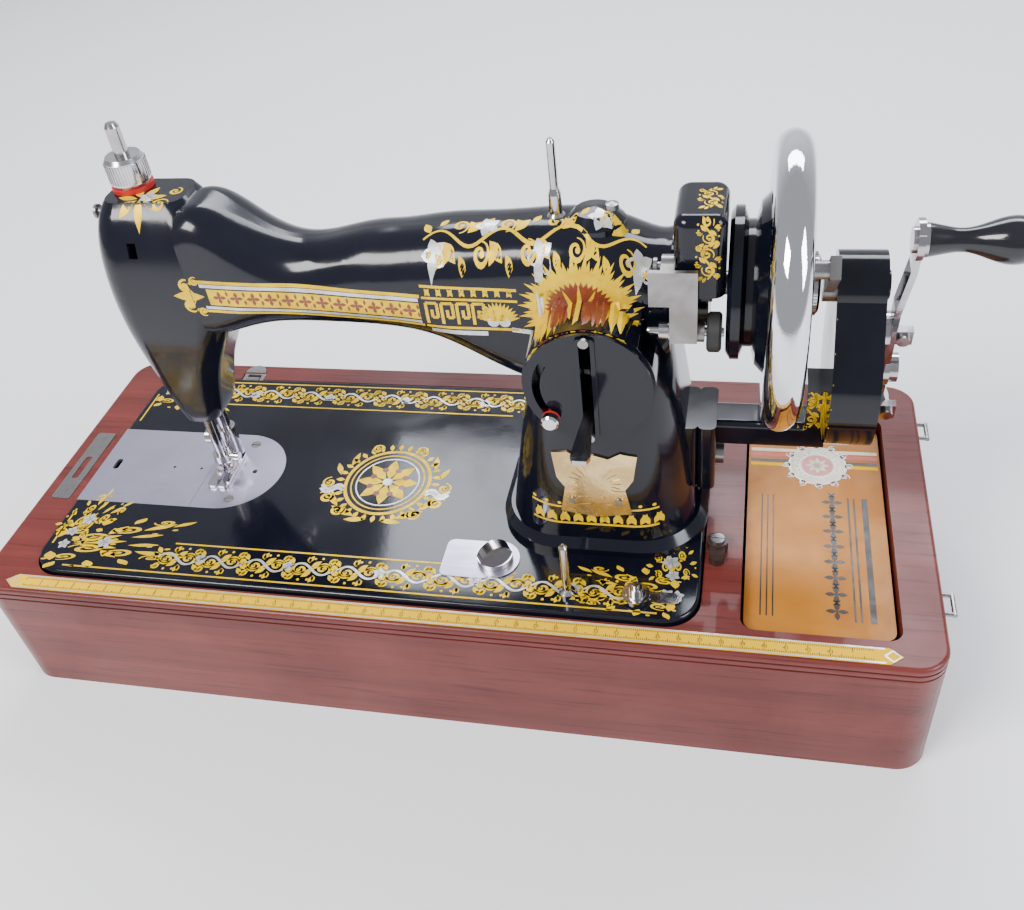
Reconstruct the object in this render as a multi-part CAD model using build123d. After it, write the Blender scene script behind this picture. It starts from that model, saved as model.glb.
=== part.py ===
from build123d import *
import math
import os

# A hand-crank lockstitch sewing machine standing in its wooden base.
# Millimetres, +Z up. Origin: centre of the base's underside, +X towards the handwheel, +Y to the back.
# The machine itself is laid out from the front left corner of the bed's top face.

# ---- driving sizes: wooden base
BASE_LENGTH = 515.0
BASE_DEPTH = 212.0
BASE_HEIGHT = 81.0
BASE_CORNER = 16.0
BASE_WALL = 12.0
TOP_BOARD = 13.0
FLOOR_BOARD = 6.0
MARGIN_LEFT = 28.6
MARGIN_FRONT = 14.2
BOX_ROOM_X = (391.0, 466.0)
BOX_ROOM_Y = (2.0, 165.0)
DIVIDER = 8.0

# ---- driving sizes: bed
BED_LENGTH = 371.0
BED_DEPTH = 178.0
BED_CORNER = 18.0
BED_PLATE = 4.0
BED_RISE = 3.0
SKIRT_DEPTH = 16.0
SKIRT_WALL = 5.0
BED_GAP = 1.0
HINGE_GAP = 3.5

# ---- driving sizes: arm, shafts and wheel
SHAFT_Y = 91.0
SHAFT_Z = 135.0
SHAFT_R = 5.5
PILLAR_X = 318.0
NEEDLE_X = 85.5
NEEDLE_Y = 88.5
NEEDLE_BAR_R = 3.15
PRESSER_Y = 101.5
PRESSER_BAR_R = 3.6
HEAD_TOP = 180.0
WHEEL_X = 403.5
WHEEL_R = 67.5
RIM_R = 8.6
BOSS_X0 = 378.0
BOSS_R = 35.0
SPOKES = 5
GEAR_Y = 88.0
GEAR_Z = 92.0
GEAR_MODULE = 1.0
PINION_TEETH = 21
GEAR_TEETH = 65
HOUSING_X0 = 425.0
HOUSING_X1 = 446.0
HOUSING_WALL = 3.0
CRANK_ARM = 78.0
DISC_R = 30.0
DISC_Z = 108.5
DISC_Y = 41.5

# ---- clearances
RUN = 0.05
FREE = 0.4
PLATE_FIT = 0.2

BED_AT = Location((MARGIN_LEFT - BASE_LENGTH / 2, MARGIN_FRONT - BASE_DEPTH / 2, BASE_HEIGHT + BED_RISE))
nodes = {}

# ---- places and sizes: wooden base
base_x = (-MARGIN_LEFT, BASE_LENGTH - MARGIN_LEFT)
base_y = (-MARGIN_FRONT, BASE_DEPTH - MARGIN_FRONT)
base_top = -BED_RISE
base_low = -BED_RISE - BASE_HEIGHT
board_z = (base_top - TOP_BOARD, base_top)
wall_z = (base_low + FLOOR_BOARD, board_z[0])
well_x = (-BED_GAP, BED_LENGTH + BED_GAP)
well_y = (-BED_GAP, BED_DEPTH + HINGE_GAP)
HINGE_X = (62.0, 300.0)
RULER_X = (-10.0, 465.0)
BUTTON_AT = (378.0, 55.0)
BUTTON_REACH = 10.0
HINGE_PIN_R = 2.5
hinge_y = BED_DEPTH + 5.0
hinge_z = -7.0

# ---- places and sizes: bed
PLATE_Y = (55.7, 121.3)
PLATE_T = 1.8
PLATE_SPLIT = 74.0
NEEDLE_PLATE_CENTRE = (88.0, NEEDLE_Y)
NEEDLE_PLATE_R = (PLATE_Y[1] - PLATE_Y[0]) / 2
KNOB_AT = (264.0, 32.0)
ROCKER_Y = (38.0, 140.0)
ROCKER_Z = -16.0
ROCKER_X = (58.4, 336.6)
HOOK_Z = -26.0
PLATE_SCREWS = ((94.0, 112.5), (96.3, 64.0))
PILLAR_HOLE_X = (292.0, 344.0)
PILLAR_HOLE_Y = (64.0, 118.0)
ARM_BOLTS = ((278.0, 66.0), (278.0, 116.0), (354.0, 66.0), (354.0, 116.0))

# ---- places and sizes: arm, drive and head
HEAD = [(45, 75, 96, 80, 110, 8), (62, 72, 102, 77, 112, 9), (88, 69, 112, 73, 115, 11),
        (115, 67, 126, 69, 117, 13), (145, 67, 132, 69, 117, 14), (166, 69, 128, 74, 114, 13),
        (HEAD_TOP, 75, 118, 84, 110, 8)]
ARM = [(118, 68, 114, 108, 178, 16), (140, 68, 114, 112, 175, 18), (155, 68.5, 113.5, 114, 165, 20),
       (170, 69, 113, 114.5, 159, 20), (200, 68, 114, 114, 162, 21), (226, 67, 115, 111.5, 165, 22),
       (245, 66, 116, 106, 167, 22), (264, 66, 116, 95, 168, 22), (285, 66, 116, 84, 169, 22),
       (325, 65, 117, 80, 167, 22), (353, 66, 116, 100, 160, 22)]
PILLAR = [(8, 268, 366, 44, 138, 30), (78, 280.5, 358.5, 46.5, 133.5, 28), (138, 292, 350, 61, 119, 24)]
PILLAR_FOOT = ((262, 372), (40, 142), 34.0)
FACE_X = 67.0
FACE_T = 3.0
CRANK_PIN_R = 15.0
CRANK_DISC_R = 17.4
TAKE_UP_PIVOT = (74.5, 149.0)
TAKE_UP_ARM = 20.05
TAKE_UP_REST = -20.0
LIFTER_PIVOT = (110.0, 112.0)
LEVER_PIVOT = (70.0, 98.0)
LEVER_SLOPE = 5.0
SLOT_HALF = 2.6
KNOB_ORBIT = 23.8
KNOB_ANGLE = 222.0
KNOB_TRAVEL = 70.0
PAD_X = 366.0
PAD_Y = (70.0, 104.0)
PAD_Z = (24.0, 64.0)
BEAM_Y = (78.0, 96.0)
BEAM_Z = (47.0, 62.0)
ROD_X = ((306.0, 314.0), (320.0, 328.0))
ECCENTRIC = 3.0
ECCENTRIC_R = 9.0
PRESSURE_R = 6.4
CLAMP_Z = (9.5, 14.5)
NEEDLE_R = 0.9
SPOOL_X = 300.5
PINION_BOSS_R = 8.0
GEAR_TIP = GEAR_MODULE * (GEAR_TEETH / 2 + 0.9)
PINION_TIP = GEAR_MODULE * (PINION_TEETH / 2 + 0.9)


# ---- helpers
def block(x, y, z):
    """A box between two limits on each axis."""
    return Pos((x[0] + x[1]) / 2, (y[0] + y[1]) / 2, (z[0] + z[1]) / 2) * Box(x[1] - x[0], y[1] - y[0],
                                                                              z[1] - z[0])


def slab(x, y, z, radius):
    """A plate with rounded vertical corners."""
    outline = RectangleRounded(x[1] - x[0], y[1] - y[0], radius)
    return Pos((x[0] + x[1]) / 2, (y[0] + y[1]) / 2, z[0]) * extrude(outline, z[1] - z[0])


def rod_x(y, z, x, radius):
    return Pos((x[0] + x[1]) / 2, y, z) * Rot(0, 90, 0) * Cylinder(radius, x[1] - x[0])


def rod_y(x, z, y, radius):
    return Pos(x, (y[0] + y[1]) / 2, z) * Rot(90, 0, 0) * Cylinder(radius, y[1] - y[0])


def rod_z(x, y, z, radius):
    return Pos(x, y, (z[0] + z[1]) / 2) * Cylinder(radius, z[1] - z[0])


def turned_x(y, z, profile):
    """A solid turned about an X axis from (x, radius) points."""
    face = make_face(Polyline(*[(x, r) for x, r in profile], close=True))
    return Pos(0, y, z) * revolve(face, Axis.X)


def turned_z(x, y, profile):
    """A solid turned about a vertical axis from (radius, z) points."""
    face = make_face(Polyline(*[(r, 0, z) for r, z in profile], close=True))
    return Pos(x, y, 0) * revolve(face, Axis.Z)


def turned_y(x, z, profile):
    """A solid turned about a Y axis from (radius, y) points."""
    face = make_face(Polyline(*[(r, y) for r, y in profile], close=True))
    return Pos(x, 0, z) * revolve(face, Axis.Y)


def tower(sections, grow=0.0):
    """A casting lofted through level sections (z, x0, x1, y0, y1, corner)."""
    faces = []
    for z, x0, x1, y0, y1, corner in sections:
        outline = RectangleRounded(x1 - x0 + 2 * grow, y1 - y0 + 2 * grow, corner + grow)
        faces.append(Pos((x0 + x1) / 2, (y0 + y1) / 2, z) * outline)
    return loft(faces)


def beam_x(sections):
    """A casting lofted through upright sections (x, y0, y1, z0, z1, corner)."""
    faces = []
    for x, y0, y1, z0, z1, corner in sections:
        outline = RectangleRounded(y1 - y0, z1 - z0, corner)
        faces.append(Plane(origin=(x, (y0 + y1) / 2, (z0 + z1) / 2), x_dir=(0, 1, 0),
                           z_dir=(1, 0, 0)) * outline)
    return loft(faces)


def screw_z(x, y, z, head_r=3.2, head_h=1.0, shank_r=1.6, shank=5.0):
    """A screw standing down from z, with a slot in its head."""
    body = rod_z(x, y, (z, z + head_h), head_r) + rod_z(x, y, (z - shank, z), shank_r)
    return body - block((x - head_r, x + head_r), (y - 0.4, y + 0.4), (z + head_h * 0.45, z + head_h + 1))


def gear_x(y, z, x, teeth, module, turn=0.0):
    """A spur gear on an X axis, its flanks straight lines between root and tip."""
    pitch = module * teeth / 2
    root = pitch - 1.2 * module
    tip = pitch + 0.9 * module
    points = []
    for i in range(teeth):
        for radius, share in ((root, -0.36), (pitch, -0.225), (tip, -0.11), (tip, 0.11), (pitch, 0.225),
                              (root, 0.36)):
            angle = math.radians(turn) + (i + share) * math.tau / teeth
            points.append((radius * math.cos(angle), radius * math.sin(angle)))
    face = make_face(Polyline(*points, close=True))
    plane = Plane(origin=(x[0], y, z), x_dir=(0, 1, 0), z_dir=(1, 0, 0))
    return extrude(plane * face, x[1] - x[0])


def add(name, shape):
    """Put finished solids in a node, still laid out from the bed's corner."""
    nodes.setdefault(name, []).extend(shape.solids())


# ---- wooden base, laid out in the bed's frame too


def inset(limits, amount):
    return (limits[0] + amount, limits[1] - amount)


def wooden_base():
    inner_x = inset(base_x, BASE_WALL)
    inner_y = inset(base_y, BASE_WALL)
    board = slab(base_x, base_y, board_z, BASE_CORNER)
    board -= slab(well_x, well_y, (board_z[0] - 1, board_z[1] + 1), BED_CORNER)
    board -= slab(BOX_ROOM_X, BOX_ROOM_Y, (board_z[0] - 1, board_z[1] + 1), 7.0)
    for groove in (3.6, 7.4):
        ring = slab(base_x, base_y, (board_z[1] - groove - 1.2, board_z[1] - groove), BASE_CORNER)
        core = slab(inset(base_x, 0.9), inset(base_y, 0.9), (board_z[0] - 1, board_z[1] + 1),
                    BASE_CORNER - 0.9)
        board -= ring - core
    for x in HINGE_X:
        board -= block((x - 8, x + 8), (BED_DEPTH, hinge_y + 5.5), (-14.0, board_z[1] + 1))
    board -= rod_z(BUTTON_AT[0], BUTTON_AT[1], (base_top - 2.6, base_top + 1), 2.0)
    rim = [e for e in board.edges() if abs(e.center().Z - board_z[1]) < 0.01
           and (e.center().X < base_x[0] + 30 or e.center().X > base_x[1] - 10
                or e.center().Y < base_y[0] + 3 or e.center().Y > base_y[1] - 3)
           and not (well_x[0] - 0.5 < e.center().X < well_x[1] + 0.5 and well_y[0]
                    - 0.5 < e.center().Y < well_y[1] + 0.5)]
    board = fillet(rim, 2.2)
    add("base_top_board", board)

    walls = slab(base_x, base_y, wall_z, BASE_CORNER) - slab(inner_x, inner_y,
                                                             (wall_z[0] - 1, wall_z[1] + 1), 5.0)
    reach = BASE_DEPTH / 2
    mid_y = (base_y[0] + base_y[1]) / 2
    left = make_face(Polyline((base_x[0], base_y[0]), (base_x[0] + reach, mid_y), (base_x[0], base_y[1]),
                              close=True))
    right = make_face(Polyline((base_x[1], base_y[0]), (base_x[1] - reach, mid_y), (base_x[1], base_y[1]),
                               close=True))
    left = Pos(0, 0, wall_z[0] - 1) * extrude(left, wall_z[1] - wall_z[0] + 2)
    right = Pos(0, 0, wall_z[0] - 1) * extrude(right, wall_z[1] - wall_z[0] + 2)
    add("base_wall_boards", walls & left)
    add("base_wall_boards", walls & right)
    rest = walls - left - right
    add("base_wall_boards", rest & block(base_x, (base_y[0] - 1, mid_y), (wall_z[0] - 1, wall_z[1] + 1)))
    add("base_wall_boards", rest & block(base_x, (mid_y, base_y[1] + 1), (wall_z[0] - 1, wall_z[1] + 1)))
    add("base_floor", slab(base_x, base_y, (base_low, wall_z[0]), BASE_CORNER))
    divider_x = (BOX_ROOM_X[0] - DIVIDER, BOX_ROOM_X[0])
    back_y = (BOX_ROOM_Y[1], BOX_ROOM_Y[1] + DIVIDER)
    divider = block(divider_x, (inner_y[0], inner_y[1]), wall_z)
    divider += block((BOX_ROOM_X[0], inner_x[1]), back_y, wall_z)
    add("base_wall_boards", divider)
    blocks = []
    pads = []
    skirt_low = -SKIRT_DEPTH
    for x in (12.0, BED_LENGTH - 12.0):
        for y in (12.0, BED_DEPTH - 12.0):
            blocks.append(rod_z(x, y, (wall_z[0], skirt_low - 3.2), 9.0))
            pads.append(rod_z(x, y, (skirt_low - 3.2, skirt_low - 0.2), 7.0))
    add("bed_supports", Compound(blocks))
    add("bed_supports", Compound(pads))


def base_fittings():
    top = base_top
    strip_y = (base_y[0] + 2.4, base_y[0] + 11.6)
    middle = sum(strip_y) / 2
    outline = Polyline((RULER_X[0] + 6, strip_y[0]), (RULER_X[1] - 6, strip_y[0]), (RULER_X[1], middle),
                       (RULER_X[1] - 6, strip_y[1]), (RULER_X[0] + 6, strip_y[1]), (RULER_X[0], middle),
                       close=True)
    add("ruler_strip", Pos(0, 0, top) * extrude(make_face(outline), 0.5))
    lock = slab((-20.5, -8.0), (58.5, 119.0), (top, top + 0.6), 1.5)
    lock -= slab((-16.6, -12.4), (76.0, 96.0), (top - 1, top + 2), 1.5)
    screws = []
    for y in (64.5, 113.0):
        lock -= rod_z(-14.2, y, (top - 1, top + 2), 1.8)
        screws.append(rod_z(-14.2, y, (top, top + 0.6), 1.7))
    add("base_fittings", lock)
    add("base_fittings", Compound(screws))
    discs = []
    for x in HINGE_X:
        disc = rod_z(x, 189.0, (top, top + 0.7), 7.0)
        discs.append(disc - block((x - 7.5, x + 7.5), (170, hinge_y + 5.8), (top - 1, top + 2)))
    add("base_fittings", Compound(discs))
    brackets = []
    for x in HINGE_X:
        bracket = block((x - 7.8, x + 7.8), (hinge_y + 4.3, hinge_y + 5.4), (-13.8, top - 0.4))
        for side in (-1, 1):
            cheek = (x + side * 6.2 - 1.4, x + side * 6.2 + 1.4)
            bracket += block(cheek, (hinge_y - 3.3, hinge_y + 4.4), (hinge_z - 3.3, hinge_z + 3.3))
        bracket += rod_x(hinge_y, hinge_z, (x - 7.0, x + 7.0), HINGE_PIN_R)
        brackets.append(bracket)
    add("hinge_brackets", Compound(brackets))
    staples = []
    right = base_x[1]
    for y in (31.0, 161.0):
        loop = rod_y(right + 5.0, -7.5, (y - 7, y + 7), 1.2)
        for side in (-1, 1):
            loop += rod_x(y + side * 6.0, -7.5, (right, right + 5.6), 1.2)
        staples.append(loop)
    add("base_fittings", Compound(staples))
    lock_x, lock_y = BUTTON_AT
    add("base_fittings", screw_z(lock_x, lock_y, top + 5.4, 3.6, 1.2, 2.0, 8.0))
    button = rod_z(lock_x, lock_y, (top + 0.2, top + 5.2), 5.5)
    button += block((lock_x - 4.0, lock_x + 4.0), (lock_y - BUTTON_REACH, lock_y), (top + 0.2, top + 4.2))
    button += rod_z(lock_x, lock_y - BUTTON_REACH, (top + 0.2, top + 4.2), 4.0)
    button -= rod_z(lock_x, lock_y, (top - 1, top + 9), 2.0 + RUN)
    add("turn_button", button)
    tray_x = inset(BOX_ROOM_X, 1.6)
    tray_y = (BOX_ROOM_Y[0] + 5.0, BOX_ROOM_Y[1] - 1.6)
    low = wall_z[0] + 0.3
    tray = slab(inset(tray_x, 1.4), inset(tray_y, 1.4), (low, top - 8.0), 5.0)
    tray -= slab(inset(tray_x, 2.6), inset(tray_y, 2.6), (low + 1.2, top), 4.0)
    add("accessory_box", tray)
    lid = slab(tray_x, tray_y, (top - 26.0, top - 6.6), 6.0)
    lid -= slab(inset(tray_x, 1.1), inset(tray_y, 1.1), (top - 40.0, top - 7.8), 5.2)
    add("accessory_box_lid", lid)


# ---- bed and plates


def plate_outline(grow):
    """Outline of the needle plate: a straight left edge and a half-round right end."""
    x, y = NEEDLE_PLATE_CENTRE
    round_end = Pos(x, y) * Circle(NEEDLE_PLATE_R + grow)
    straight = Pos((PLATE_SPLIT + x) / 2, y) * Rectangle(x - PLATE_SPLIT + 2 * grow,
                                                         2 * (NEEDLE_PLATE_R + grow))
    keep = Pos(PLATE_SPLIT - grow + 50, y) * Rectangle(100, 200)
    return (round_end + straight) & keep


def with_bearings(bed):
    """The bed with the bearings under it for the shuttle shaft and the two feed shafts."""
    for x in ((100, 108), (282, 290)):
        bed += block(x, (NEEDLE_Y - 9, NEEDLE_Y + 9), (HOOK_Z - 9, -BED_PLATE))
    bed -= rod_x(NEEDLE_Y, HOOK_Z, (95, 295), 4.5 + RUN)
    for y in ROCKER_Y:
        for x in ((52.0, 58.0), (337.0, 343.0)):
            bed += block(x, (y - 6, y + 6), (ROCKER_Z - 6, -BED_PLATE))
        bed -= rod_x(y, ROCKER_Z, (50, 345), 2.4)
    return bed


def bed_parts():
    bed = slab((0, BED_LENGTH), (0, BED_DEPTH), (-SKIRT_DEPTH, 0), BED_CORNER)
    inside = slab(inset((0, BED_LENGTH), SKIRT_WALL), inset((0, BED_DEPTH), SKIRT_WALL),
                  (-SKIRT_DEPTH - 1, -BED_PLATE), BED_CORNER - SKIRT_WALL)
    bed -= inside
    bed -= block((-1, PLATE_SPLIT + 1), (PLATE_Y[0] - PLATE_FIT, PLATE_Y[1] + PLATE_FIT), (-PLATE_T - 0.1, 1))
    bed -= Pos(0, 0, -PLATE_T - 0.1) * extrude(plate_outline(PLATE_FIT), 3)
    bed -= block((SKIRT_WALL + 3, 84.0), (PLATE_Y[0] + 5, PLATE_Y[1] - 5), (-10, 1))
    bed -= block((74, 100), (74, 106), (-10, 1))
    bed -= slab(PILLAR_HOLE_X, PILLAR_HOLE_Y, (-10, 1), 8.0)
    for x, y in PLATE_SCREWS:
        bed -= rod_z(x, y, (-10, 1), 1.7)
    for x, y in ARM_BOLTS:
        bed -= rod_z(x, y, (-10, 1), 3.1)
    for x in HINGE_X:
        bed += block((x - 5.0, x + 5.0), (BED_DEPTH - 14, BED_DEPTH - 4), (-12.5, -2.0))
        bed -= rod_y(x, hinge_z, (BED_DEPTH - 16, BED_DEPTH + 1), 3.0 + 0.02)
    top_edges = [e for e in bed.edges() if abs(e.center().Z) < 0.01
                 and (e.center().Y < 6 or e.center().Y > BED_DEPTH - 6 or e.center().X > BED_LENGTH - 6
                      or (e.center().X < 6 and not PLATE_Y[0] - 2 < e.center().Y < PLATE_Y[1] + 2))]
    bed = fillet(top_edges, 1.6)
    knob_x, knob_y = KNOB_AT
    bed -= rod_z(knob_x, knob_y, (-10, 2), 3.0 + RUN)
    add("bed", with_bearings(bed))

    arms = []
    for x in HINGE_X:
        arm = rod_y(x, hinge_z, (BED_DEPTH - 13, hinge_y), 3.0)
        eye = rod_x(hinge_y, hinge_z, (x - 4.4, x + 4.4), 3.9)
        arms.append((arm + eye) - rod_x(hinge_y, hinge_z, (x - 9, x + 9), HINGE_PIN_R + RUN))
    add("hinge_arms", Compound(arms))

    plate = Pos(0, 0, -PLATE_T) * extrude(plate_outline(0.0), PLATE_T)
    plate -= rod_z(NEEDLE_X, NEEDLE_Y, (-5, 2), 1.0)
    for offset in (-3.4, 3.4):
        plate -= slab((NEEDLE_X + offset - 1.0, NEEDLE_X + offset + 1.0), (77, 101), (-5, 2), 0.8)
    plate -= rod_z(103.0, NEEDLE_Y, (-5, 2), 1.6)
    screws = []
    for x, y in PLATE_SCREWS:
        plate -= rod_z(x, y, (-5, 2), 3.1)
        screw = rod_z(x, y, (-PLATE_T, -0.1), 3.0) + rod_z(x, y, (-7, -PLATE_T), 1.6)
        screws.append(screw - block((x - 3, x + 3), (y - 0.35, y + 0.35), (-0.7, 1)))
    add("needle_plate", plate)
    add("cover_screws", Compound(screws))
    slide = block((0, PLATE_SPLIT - PLATE_FIT), PLATE_Y, (-PLATE_T, 0))
    slide -= slab((8.6, 12.4), (84.0, 93.0), (-5, 2), 1.6)
    for x in (49.6, 67.6):
        slide -= rod_z(x, NEEDLE_Y, (-5, 2), 0.9)
    add("slide_plate", slide)

    label = slab((236.0, 264.0), (18.0, 44.0), (0, 0.8), 4.0) + rod_z(knob_x, knob_y, (0, 0.8), 13.0)
    label -= rod_z(knob_x, knob_y, (-1, 2), 4.0)
    add("drop_feed_plate", label)
    knob = rod_z(knob_x, knob_y, (1.0, 4.5), 9.5)
    handle = block((-9.3, 9.3), (-3.2, 3.2), (4.0, 11.5)) & Pos(0, 0, 2.2) * Rot(90, 0, 0) * Cylinder(9.3, 30)
    knob += Pos(knob_x, knob_y, 0) * Rot(0, 0, 35) * handle
    knob += rod_z(knob_x, knob_y, (-9.0, 1.5), 3.0)
    add("drop_feed_knob", knob)

    pin_x, pin_y = 305.5, 13.0
    add("spool_pins", turned_z(pin_x, pin_y, [(0, 0), (4.2, 0), (4.2, 2), (2.2, 3.2), (2.2, 33.6),
                                              (1.2, 35), (0, 35)]))
    post_x, post_y = 340.0, 14.0
    add("winder_tension", rod_z(post_x, post_y, (0, 2.0), 6.0) + rod_z(post_x, post_y, (2, 10), 1.8)
        + slab((post_x - 3.5, post_x + 22), (post_y - 3.5, post_y + 3.5), (0, 1.2), 3.0))
    discs = rod_z(post_x, post_y, (2.2, 3.2), 7.0) + rod_z(post_x, post_y, (3.2, 4.0), 5.0) \
        + rod_z(post_x, post_y, (4.0, 7.5), 3.2)
    add("winder_tension", discs - rod_z(post_x, post_y, (0, 12), 1.8 + RUN))


# ---- arm, pillar and head


def face_prism(low, high):
    """The left end of the head between two upright planes."""
    return tower(HEAD) & block((low, high), (40, 150), (50, 176))


def arm_spool_pin():
    return turned_z(SPOOL_X, SHAFT_Y, [(0, 158), (2.2, 158), (2.2, 167), (4.4, 167), (4.4, 169.5), (3.0, 171),
                                       (3.0, 180), (2.0, 183), (2.0, 204.5), (1.0, 206), (0, 206)])


def crank_bracket():
    """Pad on the pillar, beam to the right and the left half of the gear housing."""
    body = slab((PAD_X, PAD_X + 9), PAD_Y, PAD_Z, 3.0)
    body += block((PAD_X + 4, HOUSING_X0 + 2), BEAM_Y, BEAM_Z)
    body += block((417.0, HOUSING_X0 + 2), BEAM_Y, (BEAM_Z[0], 84.0))
    rims = [e for e in body.edges().filter_by(Axis.X) if e.length > 30]
    body = fillet(rims, 3.0)
    mid = (HOUSING_X0 + HOUSING_X1) / 2
    body += housing_shape((HOUSING_X0, mid), 0.0)
    body -= housing_shape((HOUSING_X0 + HOUSING_WALL, mid + 1), HOUSING_WALL)
    body -= rod_x(SHAFT_Y, SHAFT_Z, (410, HOUSING_X1), PINION_BOSS_R + RUN)
    body -= rod_x(GEAR_Y, GEAR_Z, (HOUSING_X0 + 0.6, HOUSING_X1), 5.0 + RUN)
    body -= rod_x(87.0, 35.0, (PAD_X - 12, PAD_X + 20), 3.1)
    return body


def housing_shape(x, wall):
    """The pear-shaped housing round both gears, inside or outside a wall."""
    big = GEAR_TIP + 1.0 + HOUSING_WALL - wall
    small = PINION_TIP + 1.0 + HOUSING_WALL - wall
    plane = Plane(origin=(x[0], 0, 0), x_dir=(0, 1, 0), z_dir=(1, 0, 0))
    outline = Pos(GEAR_Y, GEAR_Z) * Circle(big) + Pos(SHAFT_Y, SHAFT_Z) * Circle(small)
    neck = Polyline((SHAFT_Y - small, SHAFT_Z), (SHAFT_Y + small, SHAFT_Z),
                    (GEAR_Y + big * 0.72, GEAR_Z + big * 0.69), (GEAR_Y - big * 0.72, GEAR_Z + big * 0.69),
                    close=True)
    return extrude(plane * (outline + make_face(neck)), x[1] - x[0])


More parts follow.
